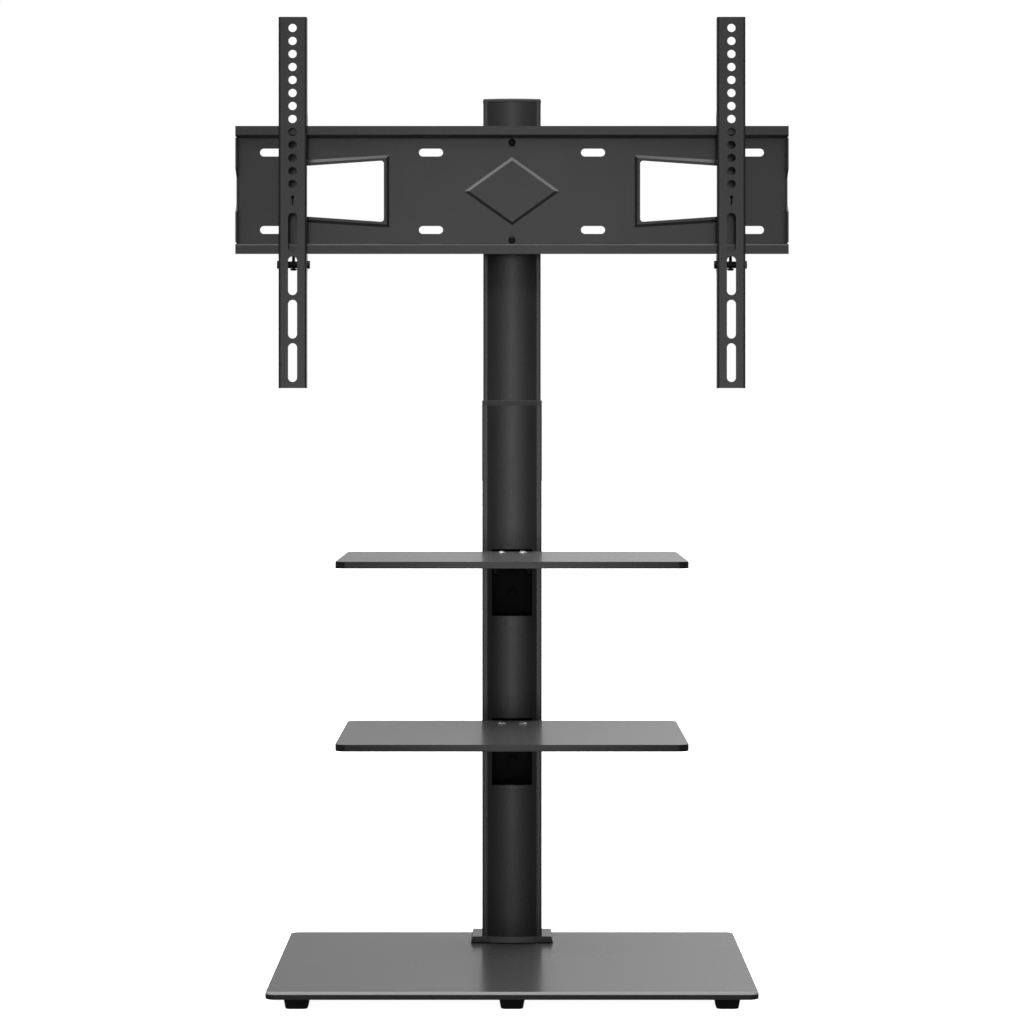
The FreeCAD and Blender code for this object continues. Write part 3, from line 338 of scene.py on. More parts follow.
def steel_finish(nodes, colour, rough):
    """Bare or plated steel: cloudy tone, fine turning marks and small stains."""
    cloud = nodes.noise(5 * MM, 3.0)
    marks = nodes.noise(0.35 * MM, 2.0)
    stain = nodes.spread(nodes.noise(2.2 * MM, 3.0), 0.55, 0.75)
    tone = nodes.blend(cloud, shade(colour, 0.8), shade(colour, 1.1))
    nodes.surface({"Base Color": nodes.blend(stain * 0.4, tone, shade(colour, 0.55)), "Metallic": 1.0,
                   "Roughness": rough + 0.1 * cloud + 0.12 * stain, "Normal": nodes.bump(marks, 0.006 * MM)})


def bright_steel_finish(nodes, colour):
    """Polished steel."""
    steel_finish(nodes, colour, 0.14)


def plated_steel_finish(nodes, colour):
    """Zinc plate."""
    steel_finish(nodes, colour, 0.28)


def dark_steel_finish(nodes, colour):
    """Blackened steel."""
    steel_finish(nodes, colour, 0.42)


FINISHES = {
    "black_glass": glass_finish,
    "ground_edge": ground_edge_finish,
    "polished_edge": polished_edge_finish,
    "frosted_arris": frosted_arris_and_highlight_finish,
    "column_paint": column_paint_finish,
    "lower_tube": lower_tube_finish,
    "foot_paint": foot_paint_finish,
    "bracket_paint": bracket_paint_finish,
    "mount_paint": mount_paint_finish,
    "arm_paint": mount_paint_finish,
    "black_rubber": rubber_finish,
    "black_plastic": plastic_finish,
    "cap_plastic": plastic_finish,
    "bright_steel": bright_steel_finish,
    "plated_steel": plated_steel_finish,
    "dark_steel": dark_steel_finish,
}


def finish(slot):
    """The stand's material for a slot, made on its first use."""
    name = f"stand_{slot}"
    made = bpy.data.materials.get(name)
    if made is None:
        made = bpy.data.materials.new(name)
        made.use_nodes = True
        colours = bpy.context.scene.stand_colours
        colour = tuple(getattr(colours, slot)) + (1.0,)
        FINISHES[slot](Nodes(made.node_tree), colour)
    return made


# Surfaces from whole arrays of points

def ring_faces(count, around, closed):
    """Quads between neighbouring rings of points; closed also joins the last ring to the first."""
    index = np.arange(count * around).reshape(count, around)
    if closed:
        index = np.concatenate([index, index[:1]])
    near, far = index[:-1], index[1:]
    quads = np.stack([near, np.roll(near, -1, 1), np.roll(far, -1, 1), far], -1)
    return quads.reshape(-1, 4).tolist()


def capped(rings):
    """Shell through rings of points from bottom to top, with a flat face on the first and the last ring."""
    count, around, _ = rings.shape
    last = (count - 1) * around
    caps = [np.arange(around)[::-1].tolist(), np.arange(last, last + around).tolist()]
    return rings.reshape(-1, 3), ring_faces(count, around, False) + caps


def looped(rings):
    """Shell through rings of points whose last ring joins the first, as on a nut."""
    return rings.reshape(-1, 3), ring_faces(rings.shape[0], rings.shape[1], True)


def angles(around):
    return np.linspace(0, TURN, around, endpoint=False)


def polar(radius, height, angle):
    """Points at each radius, angle and height: x = r cos a, y = r sin a, z = height."""
    radius, height, angle = np.broadcast_arrays(radius, height, angle)
    return np.stack([radius * np.cos(angle), radius * np.sin(angle), height], -1)


def stack_rows(rows, angle):
    """Radius and height rows, each a number or an array over the angle, as two whole arrays."""
    radius = np.stack([np.broadcast_to(row[0], angle.shape) for row in rows])
    height = np.stack([np.broadcast_to(row[1], angle.shape) for row in rows])
    return radius, height


def hexagon(angle, flats):
    """Radius of a hexagon: half its flats over the cosine of the angle from the nearest flat's middle."""
    sixth = TURN / 6
    return flats / 2 / np.cos((angle + sixth / 2) % sixth - sixth / 2)


def cross_outline(angle, arm, half_width):
    """Radius of a four-armed cross: arm over cosine at the tips, half width over sine along the arms."""
    quarter = TURN / 4
    off = np.abs((angle + quarter / 2) % quarter - quarter / 2)
    return np.minimum(arm / np.cos(off), half_width / np.maximum(np.sin(off), 1e-6))


def thread_rows(angle, length, shank, pitch):
    """Helical thread below z = 0: the radius dips once per pitch, and the dip climbs one pitch a turn."""
    steps_per_pitch, groove_depth, point = 6, 0.55 * pitch, 0.6 * pitch
    height = np.linspace(-length, 0, max(3, round(length / pitch * steps_per_pitch)))[:, None]
    phase = (height / pitch - angle / TURN) % 1
    groove = groove_depth * np.abs(2 * phase - 1)
    tip = shank / 2 - point + (height + length)
    radius = np.minimum(shank / 2 - groove, tip)
    return radius, np.broadcast_to(height, radius.shape)


def threaded(rows, angle, length, shank, pitch):
    """Shell of a screw along z: its thread below z = 0, and on it a head of rows of radius and height."""
    head_radius, head_height = stack_rows(rows, angle)
    shank_radius, shank_height = thread_rows(angle, length, shank, pitch)
    radius = np.concatenate([shank_radius, head_radius])
    height = np.concatenate([shank_height, head_height])
    return capped(polar(radius, height, angle))


def screw(length, shank, head, rise, recess, pitch=1 * MM):
    """Round-headed screw along z, its head standing on z = 0.

    The head is a short rim and a quarter ellipse that stops at the recess; the recess is an outline
    in polar form carried down and then drawn in to its floor.
    """
    angle = angles(ROUND_POINTS)
    mouth = recess(angle)
    half = head / 2
    rim = 0.28 * rise
    crown = rise - rim
    land = 1.12 * mouth.max()
    stop = math.acos(min(1.0, land / half))
    arc = np.linspace(0, stop, 7)
    edge = rim + crown * math.sin(stop)
    floor = edge - 0.62 * rise
    rows = [(0.96 * half, 0.0), (half, 0.06 * rise)]
    rows += list(zip(half * np.cos(arc), rim + crown * np.sin(arc)))
    rows += [(1.04 * mouth, edge), (mouth, edge - 0.04 * rise), (0.94 * mouth, floor),
             (0.3 * mouth, floor - 0.06 * rise)]
    return threaded(rows, angle, length, shank, pitch)


def hex_socket(flats):
    """Recess for a hexagon key."""
    return lambda angle: hexagon(angle, flats)


def cross_slot(arm, half_width):
    """Recess for a cross-point driver."""
    return lambda angle: cross_outline(angle, arm, half_width)


def chamfered(angle, flats, drop):
    """Hexagon turned down to a cone near its end: the smaller of the hexagon and the cone at that depth."""
    return np.minimum(hexagon(angle, flats), 0.475 * flats + drop * math.sqrt(3))


CHAMFER_STEPS = np.linspace(0, 0.06, 5)


def hex_bolt(length, shank, flats, head, pitch=1.25 * MM):
    """Hexagon bolt along z, its head standing on z = 0: threaded shank, washer face, chamfered head, and a
    shallow dish on top."""
    angle = angles(HEX_POINTS)
    washer_rise, washer_radius = 0.05 * head, 0.47 * flats
    rows = [(washer_radius, 0.0), (washer_radius, washer_rise), (hexagon(angle, flats), washer_rise)]
    rows += [(chamfered(angle, flats, drop * flats), head - drop * flats) for drop in CHAMFER_STEPS[::-1]]
    rows += [(0.40 * flats, head), (0.36 * flats, 0.94 * head)]
    return threaded(rows, angle, length, shank, pitch)


def hex_nut(thick, bore, flats):
    """Hexagon nut from z = 0 to its thickness, chamfered outside at both ends and inside at the mouths of
    its bore."""
    angle = angles(HEX_POINTS)
    lead = 0.09 * bore
    up = [(chamfered(angle, flats, drop * flats), drop * flats) for drop in CHAMFER_STEPS]
    down = [(chamfered(angle, flats, drop * flats), thick - drop * flats) for drop in CHAMFER_STEPS[::-1]]
    hole = [(bore / 2 + lead, thick), (bore / 2, thick - lead), (bore / 2, lead), (bore / 2 + lead, 0.0)]
    radius, height = stack_rows(up + down + hole, angle)
    return looped(polar(radius, height, angle))


def knob(width, thick, shank, reach, lobes, scallop, depth):
    """Lobed hand screw along z, its hand grip from z = 0 to its thickness.

    The outline is the smaller of the rim's circle and, near each hollow, the near side of the hollow's
    own circle. Rings shrink from that outline to plain circles towards the hub and the dished middle.
    """
    angle = angles(KNOB_POINTS)
    sector = TURN / lobes
    off = (angle - TURN / 4 + sector / 2) % sector - sector / 2
    centre = width / 2 + scallop / 2 - depth
    inside = (scallop / 2) ** 2 - (centre * np.sin(off)) ** 2
    hollow = centre * np.cos(off) - np.sqrt(np.maximum(inside, 0))
    outline = np.where(inside > 0, np.minimum(hollow, width / 2), width / 2)
    soft, ease, turned = 2 * MM, 0.8 * MM, 0.2 * MM
    quarter = np.linspace(0, TURN / 4, 5)
    rows = [(0.3 * width, 0.0), (outline - ease, 0.0), (outline - turned, turned), (outline, ease)]
    rows += [(outline - soft * (1 - np.cos(turn)), thick - soft * (1 - np.sin(turn))) for turn in quarter]
    # The dished face and its raised middle: radius as a share of the width, and millimetres below the face
    dish = [(0.36, 0), (0.345, 0.2), (0.335, 0.9), (0.20, 1.3), (0.185, 1.2), (0.178, 0.4), (0.165, 0.15),
            (0.05, 0)]
    rows += [(share * width, thick - sunk * MM) for share, sunk in dish]
    return threaded(rows, angle, reach, shank, 1.25 * MM)


def rounded_square(half, corner, per_corner=7):
    """Rings of a square with round corners, for arrays of half sizes and corner radii."""
    swing = np.linspace(0, TURN / 4, per_corner)
    turn = (np.arange(4)[:, None] * TURN / 4 + swing).ravel()
    quarter = np.arange(4).repeat(per_corner) * TURN / 4 + TURN / 8
    side = np.sqrt(2) * (half - corner)
    return side * np.cos(quarter) + corner * np.cos(turn), side * np.sin(quarter) + corner * np.sin(turn)


def rubber_foot(low, high):
    """Tapered rubber foot: rounded squares from a dished sole up the drafted side to a thin bead under the
    glass."""
    top = (high[0] - low[0]) / 2
    tall = high[2] - low[2]
    # From the sole's middle up: millimetres in from the edge of the top, and the height at each ring
    inset = np.array([9, 6, 5.4, 3.6, 2.5, 2.05, 1.8, 0.35, 0.25, 0, 0, 0.2])[:, None] * MM
    rise = np.array([1.1, 1.1, 0.3, 0, 0.15, 0.6, 1.4, 10.2, 10.4, 10.7, 11.7, 12])[:, None]
    half = top - inset
    x, y = rounded_square(half, np.minimum(5 * MM, 0.42 * half))
    middle = (low + high) / 2
    height = np.broadcast_to(low[2] + tall * rise / rise[-1], x.shape)
    return capped(np.stack([middle[0] + x, middle[1] + y, height], -1))


def panel_outline(low, high, corner, inset, hollow):
    """Outline of a glass panel seen from above, drawn in by inset: four corner arcs and, if hollow is
    given as a circle's middle and radius, the arc that hollows the back edge round the column."""
    arc = np.linspace(0, TURN / 4, 13)
    near, far = low[1] + corner, high[1] - corner
    left, right = low[0] + corner, high[0] - corner
    reach = corner - inset

    def bend(x, y, start):
        return np.stack([x + reach * np.cos(start + arc), y + reach * np.sin(start + arc)], -1)
    back = []
    if hollow is not None:
        middle, radius = hollow[0], hollow[1] + inset
        side = math.asin((middle - (high[1] - inset)) / radius)
        sweep = np.linspace(-side, side - TURN / 2, 41)
        back = [np.stack([radius * np.cos(sweep), middle + radius * np.sin(sweep)], -1)]
    return np.concatenate([bend(left, near, TURN / 2), bend(right, near, 3 * TURN / 4), bend(right, far, 0),
                           *back, bend(left, far, TURN / 4)])


def glass_panel(low, high, corner, arris, bevel, hollow=None):
    """Glass panel: its outline carried up the cut edge, with an even arris at the bottom and, at the top,
    a bevel as wide and as deep as given."""
    thick = high[2] - low[2]
    width, depth = bevel
    edge = [(arris, 0.0), (0.0, arris), (0.0, thick - depth), (width, thick)]
    rings = []
    for inset, height in edge:
        outline = panel_outline(low, high, corner, inset, hollow)
        rings.append(np.column_stack([outline, np.full(len(outline), low[2] + height)]))
    return capped(np.stack(rings))


# Directions in which a shell made along z can be laid, each a proper turn
def along_up(points):
    return points


def along_down(points):
    return points * (1, -1, -1)


def along_back(points):
    return points[:, [0, 2, 1]] * (1, 1, -1)


def along_front(points):
    return points[:, [0, 2, 1]] * (1, -1, 1)


def along_right(points):
    return points[:, [2, 0, 1]]


def along_left(points):
    return points[:, [2, 0, 1]] * (-1, -1, 1)


# Pieces

def new_piece(name, shells, node, slot, looks=None):
    """One piece from closed shells; it stands for a CAD node and rides on that node's body.
    Its finishes are the slot's own, or the looks if any are given."""
    points, faces, start = [], [], 0
    for shell_points, shell_faces in shells:
        points.append(shell_points)
        faces += [[corner + start for corner in face] for face in shell_faces]
        start += len(shell_points)
    mesh = bpy.data.meshes.new(name)
    mesh.from_pydata(np.concatenate(points), [], faces)
    mesh.validate()
    piece = bpy.data.objects.new(name, mesh)
    bpy.context.scene.collection.objects.link(piece)
    for look in looks or [slot]:
        mesh.materials.append(finish(look))
    mesh.shade_smooth()
    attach(piece, frame["nodes"][node]["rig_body"])
    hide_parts(node)
    return piece


def round_edges(piece, width, angle=SHARP_EDGE, segments=2):
    """Rounds a piece's sharp edges and keeps its flat faces flat."""
    bevel = piece.modifiers.new("edges", "BEVEL")
    bevel.width = width
    bevel.segments = segments
    bevel.limit_method = "ANGLE"
    bevel.angle_limit = math.radians(angle)
    normals = piece.modifiers.new("normals", "WEIGHTED_NORMAL")
    normals.keep_sharp = True
    return piece


def split_sharp(piece, angle=35):
    """Keeps a crisp line where two faces meet at more than the angle."""
    split = piece.modifiers.new("crisp", "EDGE_SPLIT")
    split.split_angle = math.radians(angle)
    split.use_edge_sharp = False
    return piece


def laid(shell, lay, spot):
    """A shell laid in one direction and moved to its spot."""
    points, faces = shell
    return lay(points) + np.array(spot), faces


def fasteners(name, node, shell, lay, spots, slot, looks=None):
    """Like fasteners as one piece."""
    return split_sharp(new_piece(name, [laid(shell, lay, spot) for spot in spots], node, slot, looks))


def merging_group():
    """Geometry nodes that join a CAD node's loose triangles and shade them smooth."""
    name = "merged_skin"
    group = bpy.data.node_groups.get(name)
    if group is None:
        group = bpy.data.node_groups.new(name, "GeometryNodeTree")
        for side in ("INPUT", "OUTPUT"):
            group.interface.new_socket("Geometry", in_out=side, socket_type="NodeSocketGeometry")
        nodes = Nodes(group)
        loose = nodes.node("NodeGroupInput")
        plain = nodes.node("GeometryNodeRemoveAttribute", {}, {"Geometry": loose, "Name": "custom_normal"})
        merged = nodes.node("GeometryNodeMergeByDistance", {}, {"Geometry": plain, "Distance": 0.005 * MM})
        smooth = nodes.node("GeometryNodeSetShadeSmooth", {}, {"Geometry": merged, "Shade Smooth": True})
        nodes.node("NodeGroupOutput", {}, {0: smooth})
    return group


def dress(node, slot, edge, angle=SHARP_EDGE):
    """Gives a CAD node its finish and, by modifiers alone, softly rounded edges where faces meet at more
    than the angle."""
    piece = frame["nodes"][node]
    piece.material_slots[0].material = finish(slot)
    merge = piece.modifiers.new("merge", "NODES")
    merge.node_group = merging_group()
    flat = piece.modifiers.new("flat", "DECIMATE")
    flat.decimate_type = "DISSOLVE"
    level = 0.5
    flat.angle_limit = math.radians(level)
    round_edges(piece, edge, angle)


def corners_of(node):
    low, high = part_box(node)
    return np.array(low), np.array(high)


def middle_of(node):
    low, high = corners_of(node)
    return (low + high) / 2


# Settings a user would change

def length(name, description, size):
    return FloatProperty(name=name, description=description, default=size, min=0, unit="LENGTH")


def colour(name, description, value):
    return FloatVectorProperty(name=name, description=description, default=value, min=0, max=1,
                               subtype="COLOR")


def strength(name, description, value):
    return FloatProperty(name=name, description=description, default=value, min=0)


class StandSizes(bpy.types.PropertyGroup):
    """Small sizes of the stand's finish."""

    sheet_edge: length("Sheet edge", "Rounding of the edges of folded sheet and cast metal", 0.4 * MM)
    tube_edge: length("Tube edge", "Rounding of the cut edges of the column tubes", 0.25 * MM)
    pressed_edge: length("Pressed edge", "Rounding of the folds and pressings of the mount plate", 0.8 * MM)
    bevel_width: length("Bevel width", "Width of the arris on top of the base glass", 1.2 * MM)
    bevel_depth: length("Bevel depth", "Depth of the arris on top of the base glass", 3 * MM)
    arris: length("Arris", "Width of the other arrises of the glass", 0.25 * MM)
    glass_polish: length("Glass polish", "Rounding of the glass edges after polishing", 0.1 * MM)
    base_corner: length("Base corner", "Corner radius of the base glass", 10 * MM)
    shelf_corner: length("Shelf corner", "Corner radius of the shelves", 12 * MM)


class StandColours(bpy.types.PropertyGroup):
    """Colours of the stand's finishes."""

    black_glass: colour("Black glass", "Body colour of the glass panels", (0.012, 0.012, 0.012))
    ground_edge: colour("Ground edge", "Colour of the base's ground edge", (0.006, 0.006, 0.006))
    polished_edge: colour("Polished edge", "Colour of the shelves' polished edges", (0.012, 0.012, 0.012))
    # Pale arris: ground glass, lightened as a painted highlight along the base's top edge
    frosted_arris: colour("Frosted arris", "Colour of the arris on top of the base", (0.39, 0.39, 0.39))
    column_paint: colour("Column paint", "Paint of the upper tube and the boss", (0.017, 0.017, 0.017))
    # The lower tube is darker inside: painted shade of the hollow tube
    lower_tube: colour("Lower tube", "Paint of the lower tube, which is darker inside", (0.017, 0.017, 0.017))
    foot_paint: colour("Foot paint", "Enamel of the column's foot", (0.016, 0.016, 0.016))
    # Bracket primer: dull, as painted shade inside the column's openings
    bracket_paint: colour("Bracket paint", "Primer of the shelf brackets", (0.035, 0.035, 0.035))
    mount_paint: colour("Mount paint", "Powder coat of the plate and the saddle", (0.010, 0.010, 0.010))
    arm_paint: colour("Arm paint", "Powder coat of the arms", (0.013, 0.013, 0.013))
    black_rubber: colour("Rubber", "Feet, gasket and pads", (0.006, 0.006, 0.006))
    black_plastic: colour("Plastic", "Collar, glide and hand screw", (0.026, 0.026, 0.026))
    cap_plastic: colour("Cap plastic", "Cap of the column", (0.010, 0.010, 0.010))
    bright_steel: colour("Bright steel", "Screws of the shelves", (0.72, 0.71, 0.69))
    plated_steel: colour("Plated steel", "Clamp, its bolts, and most nuts", (0.50, 0.51, 0.52))
    dark_steel: colour("Dark steel", "Black bolts, screws and pins", (0.025, 0.025, 0.026))


class StageSettings(bpy.types.PropertyGroup):
    """Floor, light and camera."""

    floor: colour("Floor", "Colour of the floor", (0.9, 0.9, 0.9))
    floor_glow: strength("Floor glow", "Light that the floor gives off", 0.95)
    key_power: FloatProperty(name="Key light", description="Power of the light high in front", default=28,
                             min=0, unit="POWER")
    back_glow: strength("Backdrop glow", "Brightness behind the stand", 0.34)
    back_top: strength("Backdrop top", "Brightness added high behind the stand", 1.36)
    back_low: strength("Backdrop foot", "Brightness added low behind the stand", 0.58)
    front_top: strength("Front top", "Brightness high in front of the stand", 0.85)
    front_spot: strength("Soft box", "Brightness of the soft box in front", 1.6)
    front_strip: strength("Strip", "Brightness of the narrow light low in front", 4.6)
    front_lamp: strength("Lamp", "Brightness of the lamp over the soft box", 4.2)
    top_glow: strength("Top glow", "Brightness overhead", 2.6)
    side_glow: strength("Side glow", "Brightness to the left and right", 0.18)
    under_glow: strength("Floor bounce", "Light from below", 0.26)
    camera_distance: length("Camera distance", "From the middle of the base to the camera", 3.186)
    camera_height: length("Camera height", "Height of the camera over the floor", 0.6237)


# Operators

class StandOperator:
    """What the stand's operators share."""

    bl_options = {"REGISTER", "UNDO"}

    def execute(self, context):
        self.make(context.scene.stand_sizes)
        return {"FINISHED"}


class MakeGlass(StandOperator, bpy.types.Operator):
    """Glass base with a ground edge, and glass shelves with polished edges"""

    bl_idname = "screen_stand.glass"
    bl_label = "Glass panels"

    def make(self, sizes):
        bevel = (sizes.bevel_width, sizes.bevel_depth)
        # The base's arris takes the pale finish: ground glass and painted highlight
        self.panel("base", sizes, sizes.base_corner, bevel, None, "frosted_arris", "ground_edge")
        arris = (sizes.arris, sizes.arris)
        hollow = (CROWN_CENTRE, CROWN_RADIUS + SHELF_GAP)
        edge = "polished_edge"
        for shelf in SHELVES:
            self.panel(f"{shelf}_shelf", sizes, sizes.shelf_corner, arris, hollow, edge, edge)

    def panel(self, name, sizes, corner, bevel, hollow, top_look, edge_look):
        """One panel, whose faces run in bands from the bottom arris up to the bevel, with the caps last."""
        node = f"{name}_glass"
        shell = glass_panel(*corners_of(node), corner, sizes.arris, bevel, hollow)
        piece = new_piece(f"{name}_panel", [shell], node, "black_glass", [top_look, edge_look, "black_glass"])
        caps, bands = 2, 3
        around = (len(piece.data.polygons) - caps) // bands
        looks = np.repeat([1, 0, 2], [2 * around, around, caps])
        piece.data.polygons.foreach_set("material_index", looks)
        round_edges(piece, sizes.glass_polish)


class MakeFeet(StandOperator, bpy.types.Operator):
    """Six rubber feet under the base"""

    bl_idname = "screen_stand.feet"
    bl_label = "Rubber feet"

    def make(self, sizes):
        for row in ("front", "rear"):
            for side in ("left", "middle", "right"):
                node = f"foot_{row}_{side}"
                new_piece(f"{row}_{side}_rubber_foot", [rubber_foot(*corners_of(node))], node, "black_rubber")


class MakeBaseClamp(StandOperator, bpy.types.Operator):
    """Clamp under the glass, its bolts, and the gasket on top"""

    bl_idname = "screen_stand.base_clamp"
    bl_label = "Base clamp"

    def make(self, sizes):
        dress("base_clamp_plate", "plated_steel", sizes.sheet_edge)
        dress("base_clamp_pad", "black_rubber", sizes.tube_edge)
        dress("foot_gasket", "black_rubber", sizes.tube_edge)
        low, high = corners_of("base_bolts")
        head, flats, shank = 5 * MM, 13 * MM, 8 * MM
        reach = high[2] - low[2] - head
        xs = (low[0] + flats / 2, high[0] - flats / 2)
        tip = flats / math.sqrt(3)
        ys = (low[1] + tip, high[1] - tip)
        spots = [(x, y, low[2] + head) for x in xs for y in ys]
        bolt = hex_bolt(reach, shank, flats, head)
        fasteners("base_hex_bolts", "base_bolts", bolt, along_down, spots, "plated_steel")


class MakeColumn(StandOperator, bpy.types.Operator):
    """Column foot, both tubes, collar, glide, cap and the screws of the foot"""

    bl_idname = "screen_stand.column"
    bl_label = "Column"

    def make(self, sizes):
        dress("column_foot", "foot_paint", sizes.sheet_edge)
        dress("lower_column", "lower_tube", sizes.tube_edge, CROWN_CREASE)
        dress("upper_column", "column_paint", sizes.tube_edge, CROWN_CREASE)
        for node in ("column_collar", "column_glide"):
            dress(node, "black_plastic", sizes.tube_edge, CROWN_CREASE)
        dress("column_cap", "cap_plastic", sizes.tube_edge, CROWN_CREASE)
        low, high = corners_of("foot_screws")
        head, rise, shank = 9 * MM, 2.5 * MM, 5 * MM
        spots = [(x, COLUMN_BACK, (low[2] + high[2]) / 2) for x in (low[0] + head / 2, high[0] - head / 2)]
        shell = screw(COLUMN_BACK - low[1], shank, head, rise, cross_slot(2.6 * MM, 0.65 * MM), 0.8 * MM)
        fasteners("foot_cross_screws", "foot_screws", shell, along_back, spots, "dark_steel")


class MakeHeightLock(StandOperator, bpy.types.Operator):
    """Threaded boss and lobed hand screw that clamp the height"""

    bl_idname = "screen_stand.height_lock"
    bl_label = "Height lock"

    def make(self, sizes):
        dress("lock_boss", "column_paint", sizes.sheet_edge)
        low, high = corners_of("lock_screw")
        thick, width, shank = 12 * MM, 34 * MM, 8 * MM
        lobes, scallop, depth = 6, 9 * MM, 2.5 * MM
        grip = high[1] - thick
        shell = knob(width, thick, shank, grip - low[1], lobes, scallop, depth)
        spot = (0, grip, middle_of("lock_screw")[2])
        fasteners("lobed_hand_screw", "lock_screw", shell, along_back, [spot], "black_plastic")


class MakeShelfBrackets(StandOperator, bpy.types.Operator):
    """Brackets, pads, screws and nuts of both shelves"""

    bl_idname = "screen_stand.shelf_brackets"
    bl_label = "Shelf brackets"

    def make(self, sizes):
        thick, shank, flats, key = 5 * MM, 6 * MM, 10 * MM, hex_socket(4 * MM)
        nut = hex_nut(thick, shank, flats)
        painted_shade_looks = ["bracket_paint"]
        # Bolts and nuts in the column's openings take the dull primer as painted shade
        for shelf in SHELVES:
            dress(f"{shelf}_shelf_bracket", "bracket_paint", sizes.sheet_edge)
            dress(f"{shelf}_shelf_pad", "black_rubber", sizes.tube_edge)

            node = f"{shelf}_shelf_screws"
            low, high = corners_of(node)
            head, rise, tip_gap = 10 * MM, 2.2 * MM, 1 * MM
            y = (low[1] + high[1]) / 2
            xs = (low[0] + head / 2, high[0] - head / 2)
            top = high[2] - rise
            shell = screw(top - low[2] - tip_gap, shank, head, rise, key)
            spots = [(x, y, top) for x in xs]
            fasteners(f"{shelf}_shelf_socket_screws", node, shell, along_up, spots, "bright_steel")
            node = f"{shelf}_shelf_nuts"
            spots = [(x, y, corners_of(node)[0][2]) for x in xs]
            fasteners(f"{shelf}_shelf_hex_nuts", node, nut, along_up, spots, "plated_steel")

            node = f"{shelf}_bracket_bolts"
            low, high = corners_of(node)
            head, rise = 12 * MM, 3.3 * MM
            zs = (low[2] + head / 2, high[2] - head / 2)
            shell = screw(COLUMN_BACK - low[1], shank, head, rise, key)
            spots = [(0, COLUMN_BACK, z) for z in zs]
            fasteners(f"{shelf}_bracket_socket_bolts", node, shell, along_back, spots, "dark_steel", painted_shade_looks)
            node = f"{shelf}_bracket_nuts"
            spots = [(0, corners_of(node)[0][1], z) for z in zs]
            fasteners(f"{shelf}_bracket_hex_nuts", node, nut, along_back, spots, "dark_steel", painted_shade_looks)


class MakeMount(StandOperator, bpy.types.Operator):
    """Saddle, plate and their bolts and nuts"""

    bl_idname = "screen_stand.mount"
    bl_label = "Saddle and plate"

    def make(self, sizes):
        dress("mount_saddle", "mount_paint", sizes.sheet_edge)
        dress("mount_plate", "mount_paint", sizes.pressed_edge, PRESSED_FOLD)
        low, high = corners_of("cross_bolts")
        head, shank, flats = 5.3 * MM, 8 * MM, 13 * MM
        tip = flats / math.sqrt(3)
        y = (low[1] + high[1]) / 2
        zs = (low[2] + tip, high[2] - tip)
        bearing = low[0] + head
        shell = hex_bolt(high[0] - bearing, shank, flats, head)
        spots = [(bearing, y, z) for z in zs]
        fasteners("cross_hex_bolts", "cross_bolts", shell, along_left, spots, "dark_steel")
        low, high = corners_of("cross_nuts")
        nut = hex_nut(high[0] - low[0], shank, flats)
        spots = [(low[0], y, z) for z in zs]
        fasteners("cross_hex_nuts", "cross_nuts", nut, along_right, spots, "plated_steel")

        low, high = corners_of("plate_bolts")
        head, rise, shank, flats = 8.6 * MM, 3 * MM, 6 * MM, 10 * MM
        zs = (low[2] + head / 2, high[2] - head / 2)
        bearing = low[1] + rise
        shell = screw(high[1] - bearing, shank, head, rise, hex_socket(4 * MM))
        spots = [(0, bearing, z) for z in zs]
        fasteners("plate_socket_bolts", "plate_bolts", shell, along_front, spots, "dark_steel")
        low, high = corners_of("plate_nuts")
        nut = hex_nut(high[1] - low[1], shank, flats)
        spots = [(0, low[1], z) for z in zs]
        fasteners("plate_hex_nuts", "plate_nuts", nut, along_back, spots, "plated_steel")


class MakeArms(StandOperator, bpy.types.Operator):
    """Hanging arms with their cross pins and safety screws"""

    bl_idname = "screen_stand.arms"
    bl_label = "Arms"

    def make(self, sizes):
        head, rise, shank = 8 * MM, 2.8 * MM, 4 * MM
        for side in SIDES:
            dress(f"{side}_arm", "arm_paint", sizes.sheet_edge)
            dress(f"{side}_arm_pin", "dark_steel", sizes.sheet_edge)
            node = f"{side}_safety_screw"
            low, high = corners_of(node)
            bearing = low[2] + rise
            shell = screw(high[2] - bearing, shank, head, rise, cross_slot(2.3 * MM, 0.6 * MM), 0.7 * MM)
            spot = ((low[0] + high[0]) / 2, (low[1] + high[1]) / 2, bearing)
            fasteners(f"{side}_cross_safety_screw", node, shell, along_down, [spot], "dark_steel")


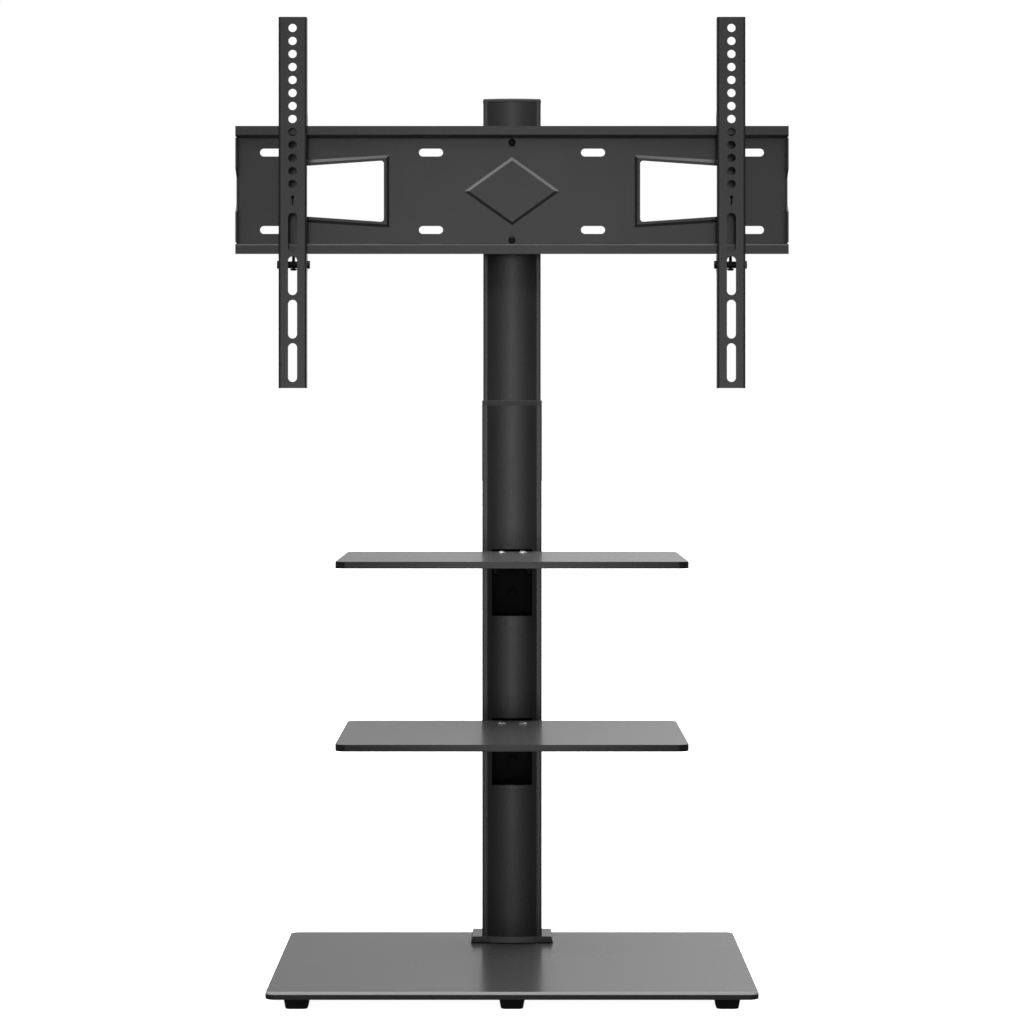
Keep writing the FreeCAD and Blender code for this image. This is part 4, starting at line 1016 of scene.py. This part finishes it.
class MakeStage(bpy.types.Operator):
    """Pale floor, soft studio light and the camera"""

    bl_idname = "screen_stand.stage"
    bl_label = "Stage"
    bl_options = {"REGISTER", "UNDO"}

    def execute(self, context):
        settings = context.scene.stand_stage
        self.make_floor(context.scene, settings)
        self.make_world(context.scene, settings)
        self.make_lights(context.scene, settings)
        self.make_camera(context.scene, settings)
        context.scene.view_settings.view_transform = "Standard"
        return {"FINISHED"}

    def make_floor(self, scene, settings):
        """Wide level floor that glows a little, as a lit white sweep does."""
        half = 30.0
        corners = np.array([(-half, -half, 0), (half, -half, 0), (half, half, 0), (-half, half, 0)])
        mesh = bpy.data.meshes.new("floor")
        mesh.from_pydata(corners, [], [[0, 1, 2, 3]])
        floor = bpy.data.objects.new("floor", mesh)
        scene.collection.objects.link(floor)
        material = bpy.data.materials.new("pale_floor")
        material.use_nodes = True
        Nodes(material.node_tree).surface({"Base Color": tuple(settings.floor) + (1.0,), "Roughness": 0.9,
                                           "Specular IOR Level": 0.0, "Emission Color": WHITE,
                                           "Emission Strength": settings.floor_glow})
        mesh.materials.append(material)
        floor.visible_diffuse = False
        floor.visible_glossy = False

    def make_world(self, scene, settings):
        """Studio surround: a backdrop that brightens upwards, at its foot and to the right; a light ceiling,
        dim sides and a dim floor; in front a wide glow, a soft box, a narrow strip and a lamp; and plain
        white to the camera."""
        world = bpy.data.worlds.new("studio")
        scene.world = world
        world.use_nodes = True
        nodes = Nodes(world.node_tree)
        towards = nodes.node("ShaderNodeTexCoord", output="Generated")
        across, along, up = nodes.axes(towards)
        aside = across.most(0 - across)
        behind = nodes.spread(along, 0.0, 1.0)
        ahead = nodes.spread(0 - along, 0.0, 1.0)
        below = nodes.spread(0 - up, 0.0, 0.05)

        left_end, gain, half_width = 0.2, 1.6, 0.25
        backdrop = behind ** 2 * (left_end + gain * nodes.spread(across, -half_width, half_width))
        foot, middle, top = 0.03, 0.12, 0.5
        heights = settings.back_glow + settings.back_low * nodes.spread(up, middle, foot)
        heights = heights + settings.back_top * nodes.spread(up, middle, top)
        sides = settings.side_glow * nodes.spread(aside, 0.55, 0.8)
        ceiling = settings.top_glow * nodes.spread(up, 0.7, 0.85)
        wide = ahead ** 3 * settings.front_top * nodes.spread(up, 0.06, 0.3)
        glow = sides + ceiling + backdrop * heights + wide
        glow = glow * (1 - below) + settings.under_glow * below
        front = nodes.spread(ahead, 0.0, 0.5)
        for light, (sideways, upwards) in FRONT_LIGHTS.items():
            shape = nodes.spread(aside, *sideways) * nodes.band(up, *upwards)
            glow = glow + front * shape * getattr(settings, light)

        camera_ray = nodes.node("ShaderNodeLightPath", output="Is Camera Ray")
        grey = nodes.node("ShaderNodeCombineColor", {}, {0: glow, 1: glow, 2: glow})
        background = nodes.node("ShaderNodeBackground", {}, {"Color": nodes.blend(camera_ray, grey, WHITE)})
        nodes.node("ShaderNodeOutputWorld", {}, {"Surface": background})

    def make_lights(self, scene, settings):
        """One large soft light, high in front."""
        wide, deep = 2.6, 0.6
        tilt, turn = math.radians(49), math.radians(-3)
        key = bpy.data.lights.new("front_light", "AREA")
        key.energy = settings.key_power
        key.shape = "RECTANGLE"
        key.size = wide
        key.size_y = deep
        lamp = bpy.data.objects.new("front_light", key)
        lamp.location = (-0.1, -1.6, 2.3)
        lamp.rotation_euler = (tilt, 0, turn)
        scene.collection.objects.link(lamp)

    def make_camera(self, scene, settings):
        """Level camera straight in front; its lens and shift give the photograph's frame."""
        frame_pixels, focal_pixels, horizon_drop = 1024, 2809, 84
        data = bpy.data.cameras.new("camera")
        data.sensor_width = 36
        data.lens = focal_pixels / frame_pixels * data.sensor_width
        data.shift_y = -horizon_drop / frame_pixels
        camera = bpy.data.objects.new("camera", data)
        camera.location = (0, -settings.camera_distance, settings.camera_height)
        camera.rotation_euler = (math.radians(90), 0, 0)
        scene.collection.objects.link(camera)
        scene.camera = camera


OPERATORS = (MakeGlass, MakeFeet, MakeBaseClamp, MakeColumn, MakeHeightLock, MakeShelfBrackets, MakeMount,
             MakeArms, MakeStage)
SETTINGS = {"stand_sizes": StandSizes, "stand_colours": StandColours, "stand_stage": StageSettings}


class STAND_PT_panel(bpy.types.Panel):
    """Lists the stand's pieces and settings"""

    bl_label = "Screen stand"
    bl_idname = "STAND_PT_panel"
    bl_space_type = "VIEW_3D"
    bl_region_type = "UI"
    bl_category = "Screen stand"

    def draw(self, context):
        for operator in OPERATORS:
            self.layout.operator(operator.bl_idname)
        for name, group in SETTINGS.items():
            box = self.layout.box()
            for setting in group.__annotations__:
                box.prop(getattr(context.scene, name), setting)


def register():
    for name, group in SETTINGS.items():
        bpy.utils.register_class(group)
        setattr(bpy.types.Scene, name, PointerProperty(type=group))
    for item in (*OPERATORS, STAND_PT_panel):
        bpy.utils.register_class(item)


def unregister():
    for item in (STAND_PT_panel, *reversed(OPERATORS)):
        bpy.utils.unregister_class(item)
    for name, group in SETTINGS.items():
        delattr(bpy.types.Scene, name)
        bpy.utils.unregister_class(group)


def plain(box):
    return [[float(part) for part in corner] for corner in box]


def main():
    register()
    for operator in OPERATORS:
        group, name = operator.bl_idname.split(".")
        getattr(getattr(bpy.ops, group), name)()


if __name__ == "__main__":
    main()
